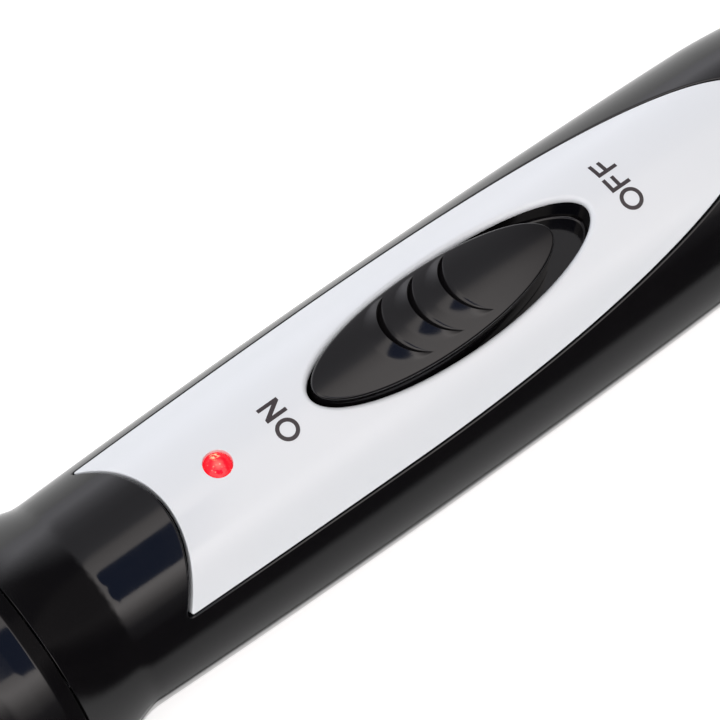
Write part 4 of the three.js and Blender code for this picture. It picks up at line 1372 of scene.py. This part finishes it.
def finger_guard():
    skin = Skin("finger_guard")
    shell_r = float(handle_radius(SHELL_FRONT))
    outline = [(GUARD_FACE, GUARD_FLAT_R), (GUARD_FACE, 19.4, 0.4), (-84, 21.1, 1.5), (-82, 22.2, 3),
               (-79, 22.6, 4), (-76.4, 22.5, 2), (-74.3, shell_r, 0.12), (-74.3, 12.9), (-70.2, 12.9, 0.2),
               (-70.2, 10.6), (-79, 10.6), (-79, 8.2), (-71.2, 8.2), (-71.2, GUARD_BORE),
               (GUARD_FACE, GUARD_BORE, 0.3), (GUARD_FACE, GUARD_BORE + BORE_EDGE)]
    turn_outline(skin, outline, GUARD_AROUND, floor=REST_Z)
    face = Plane((GUARD_FACE, 0, 0), (0, 0, 1), (0, 1, 0))
    rim, bore = (ring_row(GUARD_FACE, r, GUARD_AROUND, REST_Z)[0][:, [2, 1]]
                 for r in (GUARD_FLAT_R, GUARD_BORE + BORE_EDGE))
    keep = np.linalg.norm(bore - np.roll(bore, 1, 0), axis=1) > 1e-5
    holes = []
    for i in range(4):
        angle = math.radians(45 + 90 * i)
        centre = (GUARD_SCREW_R * math.cos(angle), GUARD_SCREW_R * math.sin(angle))
        holes.append(ellipse(0, COUNTERBORE_R, COUNTERBORE_R, 64)[::-1] + centre)
    inset = [grown(hole, -COUNTERBORE_EDGE) for hole in holes]
    skin.patch(face, rim, [bore[keep][::-1], *inset], 1.6)
    for hole in holes:
        skin.band(face, hole, edge_profile(COUNTERBORE_EDGE, COUNTERBORE_DEPTH))
        skin.patch(face, hole, (), 1.2, COUNTERBORE_DEPTH)
    return skin.mesh()


place_piece(finger_guard(), "handle", "gloss_black", ["front_guard"])

# %% [markdown]
# ## The barrel
# A collar in matt heat-proof plastic, the coated tube, and a cool tip that can be held. All
# three are turned. The tip has three fine grip grooves.

# %% Barrel
BASE_REAR, TIP_FRONT = ends("barrel_base")[1], ends("cool_tip")[0]
TUBE_FRONT, TUBE_REAR = ends("barrel_tube")
TUBE_R, TUBE_INNER_R, TUBE_EDGE = 12.5, 11.7, 0.25
TIP_GROOVES = [11.6 + 2.6 * i for i in range(3)]


def shifted(outline, along):
    return [(x + along, *rest) for x, *rest in outline]


collar = shifted([
    (-19.4, 8.4), (-19.4, 10.7, 0.3), (-18.4, 11.4, 0.4), (-7.4, 11.4), (-7.4, 13.2, 0.15),
    (-7.3, 13.6, 0.1), (-6, 14.6, 0.8), (-2.4, 16.6, 0.9), (-1, 16.5, 0.6), (0, 15.6, 0.3),
    (0, 4.15, 0.2), (-10, 4.15), (-10, 8.4)], BASE_REAR)
turned_piece("barrel_collar", "barrel", "matt_black", ["barrel_base"], collar, closed=True)
tube = [(TUBE_FRONT, TUBE_INNER_R), (TUBE_FRONT, TUBE_R, TUBE_EDGE), (TUBE_REAR, TUBE_R, TUBE_EDGE),
        (TUBE_REAR, TUBE_INNER_R)]
turned_piece("barrel_coated", "barrel", "coated_tube", ["barrel_tube"], tube, closed=True)


def tip_outline():
    outline = [(14, 1.6), (3, 1.6), (3, 3.3), (0, 3.3, 0.2), (0, 4.6, 0.3), (0.7, 7.6, 2.5), (2.6, 10.2, 4),
               (5.5, 11.9, 5), (9, 12.7, 3)]
    for x in TIP_GROOVES:
        outline += [(x, 12.78, 0.2), (x + 0.35, 12.45, 0.15), (x + 0.7, 12.8, 0.2)]
    outline += [(21.6, 12.9, 0.3), (21.7, 11.4), (28, 11.4, 0.2), (28, 10.1), (16, 10.1), (14, 4.6)]
    return shifted(outline, TIP_FRONT)


turned_piece("cool_tip_turned", "barrel", "matt_black", ["cool_tip"], tip_outline(), closed=True)
TIP_SCREW_SUNK = 0.9
screw("tip_screw_turned", "barrel", ["tip_screw"], (TIP_FRONT + TIP_SCREW_SUNK, 0, 0), (1, 0, 0),
      3.0, 2.0, 1.4, 19.1)

# %% [markdown]
# ## The cord gland
# A collar that turns at the rear so that the cord doesn't twist. Its waist has fine grooves that
# let it flex and give the fingers a hold.

# %% Cord gland
GLAND_GROOVES = [85.6 + 1.6 * i for i in range(3)]
TAPER_START, TAPER_R, TAPER_SLOPE = 84.5, 10.2, 0.32
GROOVE_BOTTOM, GROOVE_FAR_EDGE = 0.5, 0.27


def gland_outline():
    outline = [(66.8, 3.4), (66.8, 9.6, 0.2), (70.5, 9.6, 0.2), (70.8, 8.22), (80.5, 8.22),
               (80.5, 9.9, 0.2), (82, 10.4, 0.6), (TAPER_START, TAPER_R, 0.5)]
    for x in GLAND_GROOVES:
        r = TAPER_R - (x - TAPER_START) * TAPER_SLOPE
        steps = [(0, 0), (0.25, GROOVE_BOTTOM), (0.6, GROOVE_BOTTOM), (0.85, GROOVE_FAR_EDGE)]
        outline += [(x + along, r - deep, 0.15) for along, deep in steps]
    return outline + [(93.4, 7.4, 0.5), (94, 6.8, 0.3), (94, 3.4, 0.5)]


turned_piece("cord_gland", "swivel", "matt_black", ["cord_swivel"], gland_outline(), closed=True)

# %% [markdown]
# ## The clip
# The spring clip presses hair against the barrel. A jaw bent to the barrel's round is riveted to
# a lever, which turns on a pin between the two ears of a bracket. The jaw is a thin plate, so it
# is drawn in the flat like the inlay and laid on a cylinder.

# %% Jaw
PIN_X, PIN_Z, PIN_R = -116.0, 16.0, 1.0
JAW_R, JAW_T = 13.6, 0.8
JAW_FRONT, JAW_REAR = ends("clip_spoon")
JAW_NOSE, JAW_SHOULDER = 7.6, JAW_REAR - 16
JAW = TurnedSurface(np.linspace(JAW_FRONT - 2, JAW_REAR + 2, 60), np.full(60, JAW_R), reference=JAW_R)


def jaw():
    skin = Skin("clip_jaw")
    plan = [(JAW_REAR, -8.5), (JAW_REAR, 8.5), (JAW_SHOULDER, 9.4)]
    plan += round_end(JAW_FRONT + JAW_NOSE, 0, JAW_NOSE, 90, 270, 40) + [(JAW_SHOULDER, -9.4)]
    outline = JAW.from_plan(relaxed(resampled(np.array(plan), 0.5), 3))
    plate(skin, JAW, [(outline, 0.3)], JAW_T, 1.6)
    return skin.mesh()


place_piece(jaw(), "clip", "coated_steel", ["clip_spoon"])

# %% [markdown]
# The lever is a strip that widens to a thumb pad. Its top and underside are two curves along it,
# which a side view of such a lever would show. The pad gets fine ribs for the thumb, as a height
# added to the top, and the underside keeps clear of the barrel's round.

# %% Lever
LEVER_HALF, LEVER_FRONT, LEVER_EDGE, PAD_X, PAD_R = 4.9, -22, 0.45, 17.0, 8.0
PAD_MIDDLE, LEVER_CROWN = PAD_X - 0.4, 0.006
PAD_RIB, PAD_RIB_PITCH, PAD_RIB_REACH, PAD_RIB_HALF = 0.14, 1.9, 5, 6.4
LEVER_TOP = [(-22, -0.8), (-9, 0.4), (-3, 2), (0, 2.3), (3.5, 2.4), (12, 4.4), (20, 7.4), (24.6, 9.2)]
LEVER_UNDER = [(-22, -2.4), (-8, -2.8), (-7, -1.6), (0, -1.6), (2.4, -1.1), (6, 0.6), (12, 2.8),
               (20.4, 6.2), (24.6, 8.6)]
BARREL_CLEAR, CLEAR_FROM = 13.9, -6


class LeverTop(Measured):
    """The lever's upper side: its curve along the clip, softened, with a slight crown across."""

    def __init__(self):
        self.x = np.arange(-24, 27, 0.2)
        weights = np.hanning(15)
        height = np.interp(self.x, *zip(*LEVER_TOP))
        self.z = np.convolve(np.pad(height, 7, "edge"), weights / weights.sum(), "valid")

    def at(self, flat, depth):
        x, y = flat[:, 0] - PIN_X, flat[:, 1]
        ribs = PAD_RIB * np.clip(1 - np.abs(x - PAD_X) / PAD_RIB_REACH, 0, 1) ** 0.3
        ribs *= np.cos(x * 2 * math.pi / PAD_RIB_PITCH) * np.clip(1 - (y / PAD_RIB_HALF) ** 4, 0, 1)
        z = PIN_Z + np.interp(x, self.x, self.z) - LEVER_CROWN * y ** 2 + ribs
        return np.column_stack([flat, z - depth])


class LeverUnder(Measured):
    def at(self, flat, depth):
        x, y = flat[:, 0] - PIN_X, flat[:, 1]
        z = PIN_Z + np.interp(x, *zip(*LEVER_UNDER))
        clear = np.where(x < CLEAR_FROM, np.sqrt(BARREL_CLEAR ** 2 - y ** 2), 0)
        return np.column_stack([flat, np.maximum(z, clear) - depth])


def lever():
    skin = Skin("clip_thumb_lever")
    top, under = LeverTop(), LeverUnder()
    corner = math.degrees(math.asin(LEVER_HALF / PAD_R))
    pad = round_end(PIN_X + PAD_MIDDLE, 0, PAD_R, corner - 180, 180 - corner, 60)
    plan = [(PIN_X + LEVER_FRONT, LEVER_HALF), (PIN_X + LEVER_FRONT, -LEVER_HALF)] + pad
    outline = relaxed(resampled(np.array(plan), 0.5), 4)
    below_edge = LEVER_EDGE + 0.02
    skin.patch(top, grown(outline, -LEVER_EDGE), (), 0.6)
    skin.band(top, outline, edge_profile(LEVER_EDGE, below_edge))
    out = np.column_stack([sideways(outline), np.zeros(len(outline))])
    skin.strip(top.at(outline, below_edge), under.at(outline, 0), out, out)
    skin.patch(under, outline, (), 1.0, under=True)
    return skin.mesh()


place_piece(lever(), "clip", "matt_black", ["clip_lever"])

# %% [markdown]
# The bracket is a saddle on the barrel with two rounded ears, so it is three plates: one bent and
# two flat. The pin has domed ends, and the rivets' heads are low domes; both are turned.

# %% Bracket, pin and rivets
EAR_INSIDE, EAR_T, SADDLE_R, SADDLE_UNDER = 5.3, 1.7, 14.0, 12.7
SADDLE_LENGTH, SADDLE_HALF, EAR_FOOT, EAR_SIDE, EAR_R = 4, 6.98, 11.6, 14, 2.4
PIN_LENGTH, PIN_START, RIVET_HEAD, RIVET_END = 15.2, -7.6, 0.7, 12.9
SADDLE = TurnedSurface(np.linspace(PIN_X - 6, PIN_X + 6, 30), np.full(30, SADDLE_R), reference=SADDLE_R)


def bracket():
    skin = Skin("clip_hinge_bracket")
    front, rear = PIN_X - SADDLE_LENGTH, PIN_X + SADDLE_LENGTH
    corners = [(front, -SADDLE_HALF), (rear, -SADDLE_HALF), (rear, SADDLE_HALF), (front, SADDLE_HALF)]
    strip = SADDLE.from_plan(resampled_box(np.array(corners), 0.8))
    plate(skin, SADDLE, [(strip, 0.15)], SADDLE_R - SADDLE_UNDER, 1.5)
    ear = [(front, EAR_FOOT), (rear, EAR_FOOT), (rear, EAR_SIDE)]
    ear += round_end(PIN_X, PIN_Z, EAR_R, 20, 160, 24) + [(front, EAR_SIDE)]
    ear = resampled_box(np.array(ear), 0.6)
    hole = ellipse(PIN_X, PIN_R + 0.15, PIN_R + 0.15, 40)[::-1] + (0, PIN_Z)
    for y in (-EAR_INSIDE - EAR_T, EAR_INSIDE):
        side = Plane((0, y, 0), (1, 0, 0), (0, 0, 1))
        plate(skin, side, [(ear, 0.15), (hole, 0.08)], EAR_T, 1.2)
    return skin.mesh()


place_piece(bracket(), "barrel", "steel", ["clip_bracket"])
pin = [(0, 0), (0, 0.7, 0.4), (0.35, PIN_R, 0.3), (PIN_LENGTH - 0.35, PIN_R, 0.3),
       (PIN_LENGTH, 0.7, 0.4), (PIN_LENGTH, 0)]
turned_piece("clip_hinge_pin", "barrel", "steel", ["clip_pin"], pin, around=48,
             place=axis_to((PIN_X, PIN_START, PIN_Z), (0, 1, 0)))
for i, (x, seat) in enumerate([(-134, 15.9), (-127.5, 16.5)], 1):
    top = seat + RIVET_HEAD
    length = top - RIVET_END
    rivet = [(0, 0), (0, 0.75, 0.9), (0.42, PIN_R + 0.6, 0.35), (RIVET_HEAD, PIN_R + 0.6),
             (RIVET_HEAD, PIN_R), (length, PIN_R), (length, 0)]
    turned_piece(f"clip_rivet_{i}_domed", "clip", "steel", [f"clip_rivet_{i}"], rivet, around=48,
                 place=axis_to((x, 0, top), (0, 0, -1)))

# %% [markdown]
# ## Springs
# Two coil springs, each a wire swept along a helix. A spring can't ride on two bodies at once, so it
# stays on one.

# %% Springs
TURNS, STEPS_PER_TURN, WIRE_SIDES = 4, 32, 12


def coil(name, node, body, x, z0, z1, radius, wire, anchor_z):
    skin = Skin(name)
    steps = TURNS * STEPS_PER_TURN
    ways = np.linspace(0, 2 * math.pi, WIRE_SIDES, endpoint=False)
    rows, directions = [], []
    for k in range(steps + 1):
        turn = 2 * math.pi * TURNS * k / steps
        out = np.array([math.cos(turn), math.sin(turn), 0])
        centre = np.array([x, 0, z0 + wire + (z1 - z0 - 2 * wire) * k / steps]) + out * radius
        way = np.outer(np.cos(ways), out) + np.outer(np.sin(ways), (0, 0, 1))
        rows.append(centre + way * wire)
        directions.append(way)
    for k in range(steps):
        skin.strip(rows[k + 1], rows[k], directions[k + 1], directions[k])
    skin.face(list(rows[0]), [(0, -1, 0)] * WIRE_SIDES)
    skin.face(list(rows[-1][::-1]), [(0, 1, 0)] * WIRE_SIDES)
    piece = place_piece(skin.mesh(), body, "steel", [node])
    in_frame((x, 0, anchor_z))
    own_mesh(piece)


coil("clip_return_spring", "clip_spring", "barrel", x=-103.0, z0=12.9, z1=18.2, radius=2.2, wire=0.3,
     anchor_z=12.9)
coil("trigger_return_spring", "trigger_spring", "handle", x=-39.1, z0=-14, z1=-8.75, radius=1.35,
     wire=0.25, anchor_z=-8.75)

# %% [markdown]
# ## The inner parts
# Everything inside the casing stays as the frame made it, since it never shows from outside. Each
# part still gets the finish of its own material.

# %% Finishes for the inner parts
for subpart in frame["record"]["subparts"]:
    node = frame["nodes"][subpart["node"]]
    node.data.materials.clear()
    node.data.materials.append(FINISHES[subpart["material_slot"]].material)

# %% [markdown]
# ## Floor
# The table is a plain pale sheet, two metres to each side so that its end never shows. It gives
# off a little light of its own, as a table of lit opal glass does, which keeps it nearly white
# and leaves only a soft contact shadow. It sits a hair below the curler, so they don't flicker.

# %% Floor
TABLE_REACH, TABLE_GAP, TABLE_GLOW = 2.0, 0.0002, 0.62


def floor():
    made = bpy.data.meshes.new("table")
    corners = [(x * TABLE_REACH, y * TABLE_REACH, 0) for x, y in ((-1, -1), (1, -1), (1, 1), (-1, 1))]
    made.from_pydata(corners, [], [(0, 1, 2, 3)])
    finish = Finish("table_paper", Specular_IOR_Level=0.1, Emission_Strength=TABLE_GLOW)
    finish.feed("Base Color", finish.noise(0.02, 3).mix((0.90, 0.90, 0.90), (0.93, 0.93, 0.93)))
    finish.feed("Roughness", finish.noise(0.5, 2).between(0.8, 0.95))
    finish.shader.inputs["Emission Color"].default_value = (1, 1, 1, 1)
    made.materials.append(finish.material)
    table = bpy.data.objects.new("table", made)
    bpy.context.scene.collection.objects.link(table)
    table.location.z = -TABLE_GAP
    print("table laid,", 2 * TABLE_REACH, "m wide")


floor()

# %% [markdown]
# ## Studio
# The studio is soft: a bright ring of paper all round, a darker ceiling above the camera and long
# soft boxes beside it. Gloss black shows nothing but this room, so the room is designed by
# direction, as pairs of (angle round the handle's axis, brightness). Lamps would be the other
# way, but each would have to be steered by hand to fall on the right strip of the handle.

# %% Studio
ROOM = [(-180, 0.9), (-100, 0.9), (-92, 0.95), (-78, 1.45), (-66, 0.9), (-54, 0.52), (-42, 0.42),
        (-28, 0.45), (-20, 0.55), (-14, 1.25), (-4, 1.6), (8, 1.65), (30, 1.8), (37, 2.3), (43, 1.6),
        (50, 0.75), (60, 0.14), (75, 0.03), (100, 0.02), (108, 0.6), (180, 0.9)]
WARM, COOL, WARM_FROM, WARM_TO = (1.04, 0.985, 0.97), (0.985, 0.98, 1.04), -16, 60
HEADROOM, CORNER_DARKNESS = 1.1, 0.94


def studio():
    world = bpy.data.worlds.new("studio")
    world.use_nodes = True
    bpy.context.scene.world = world
    start = Wire(world.node_tree)
    x, y, z = start.node("ShaderNodeTexCoord", out=0).parts()
    angle = start.maths("ARCTAN2", 0 - y, z) / (2 * math.pi) + 0.5
    top = HEADROOM * max(light for _, light in ROOM)
    tints = [WARM if WARM_FROM < a < WARM_TO else COOL for a, _ in ROOM]
    stops = [(a / 360 + 0.5, [light * t / top for t in tint]) for (a, light), tint in zip(ROOM, tints)]
    ring = start.node("ShaderNodeValToRGB", {"stops": stops}, {0: angle})
    dark_corner = x.step(0.44, 0.62) * (0.72 - y).step(0.0, 0.35)
    background = world.node_tree.nodes["Background"]
    world.node_tree.links.new(ring.socket, background.inputs[0])
    world.node_tree.links.new(((1 - dark_corner * CORNER_DARKNESS) * top).socket, background.inputs[1])


studio()
print("studio has", len(ROOM), "stops of light")

# %% [markdown]
# ### Cards
# In a studio, cards are stood round a glossy thing to shape its reflections: a black one beside it
# for the dark band under the inlay's edge, a dim and a pale one low down, and the blue of a window
# above. They are seen only in reflections, so they neither darken the table nor show themselves.

# %% Cards
def card(name, corners, low, high, start, end):
    """A card whose colour goes from low to high as z goes from start to end, in millimetres."""
    made = bpy.data.meshes.new(name)
    made.from_pydata([in_frame(corner) for corner in corners], [], [tuple(range(len(corners)))])
    finish = Finish(name, Emission_Strength=1.0, Roughness=1.0, Specular_IOR_Level=0.0)
    finish.shader.inputs["Base Color"].default_value = (0, 0, 0, 1)
    z = finish.place.parts()[2]
    finish.feed("Emission Color", z.step(start + HOME[2], end + HOME[2]).mix(low, high))
    made.materials.append(finish.material)
    piece = bpy.data.objects.new(name, made)
    bpy.context.scene.collection.objects.link(piece)
    piece.visible_camera = piece.visible_diffuse = piece.visible_shadow = False
    piece.visible_transmission = piece.visible_volume_scatter = False


def upright(y, x0, x1, z0, z1):
    return [(x0, y, z0), (x1, y, z0), (x1, y, z1), (x0, y, z1)]


def lying(z, x0, x1, y0, y1):
    return [(x0, y0, z), (x1, y0, z), (x1, y1, z), (x0, y1, z)]


BLACK, DIM, PALE, NIGHT_BLUE = (0.01,) * 3, (0.50,) * 3, (0.95,) * 3, (0.055, 0.120, 0.30)
JUST_ABOVE_TABLE = REST_Z + 0.1
card("black_flag", upright(-46, -130, 150, JUST_ABOVE_TABLE, 22), DIM, BLACK, -6, 2)
card("dim_card", lying(JUST_ABOVE_TABLE, -130, 150, -46, -20), DIM, DIM, 0, 1)
card("pale_card", lying(JUST_ABOVE_TABLE, -1900, 1900, 19, 1900), PALE, PALE, 0, 1)
card("window", [(-95, -85, 172), (-6, -112, 172), (-6, -2, 172), (-95, 6, 172)],
     NIGHT_BLUE, NIGHT_BLUE, 0, 1)
print("studio lit, with four cards")
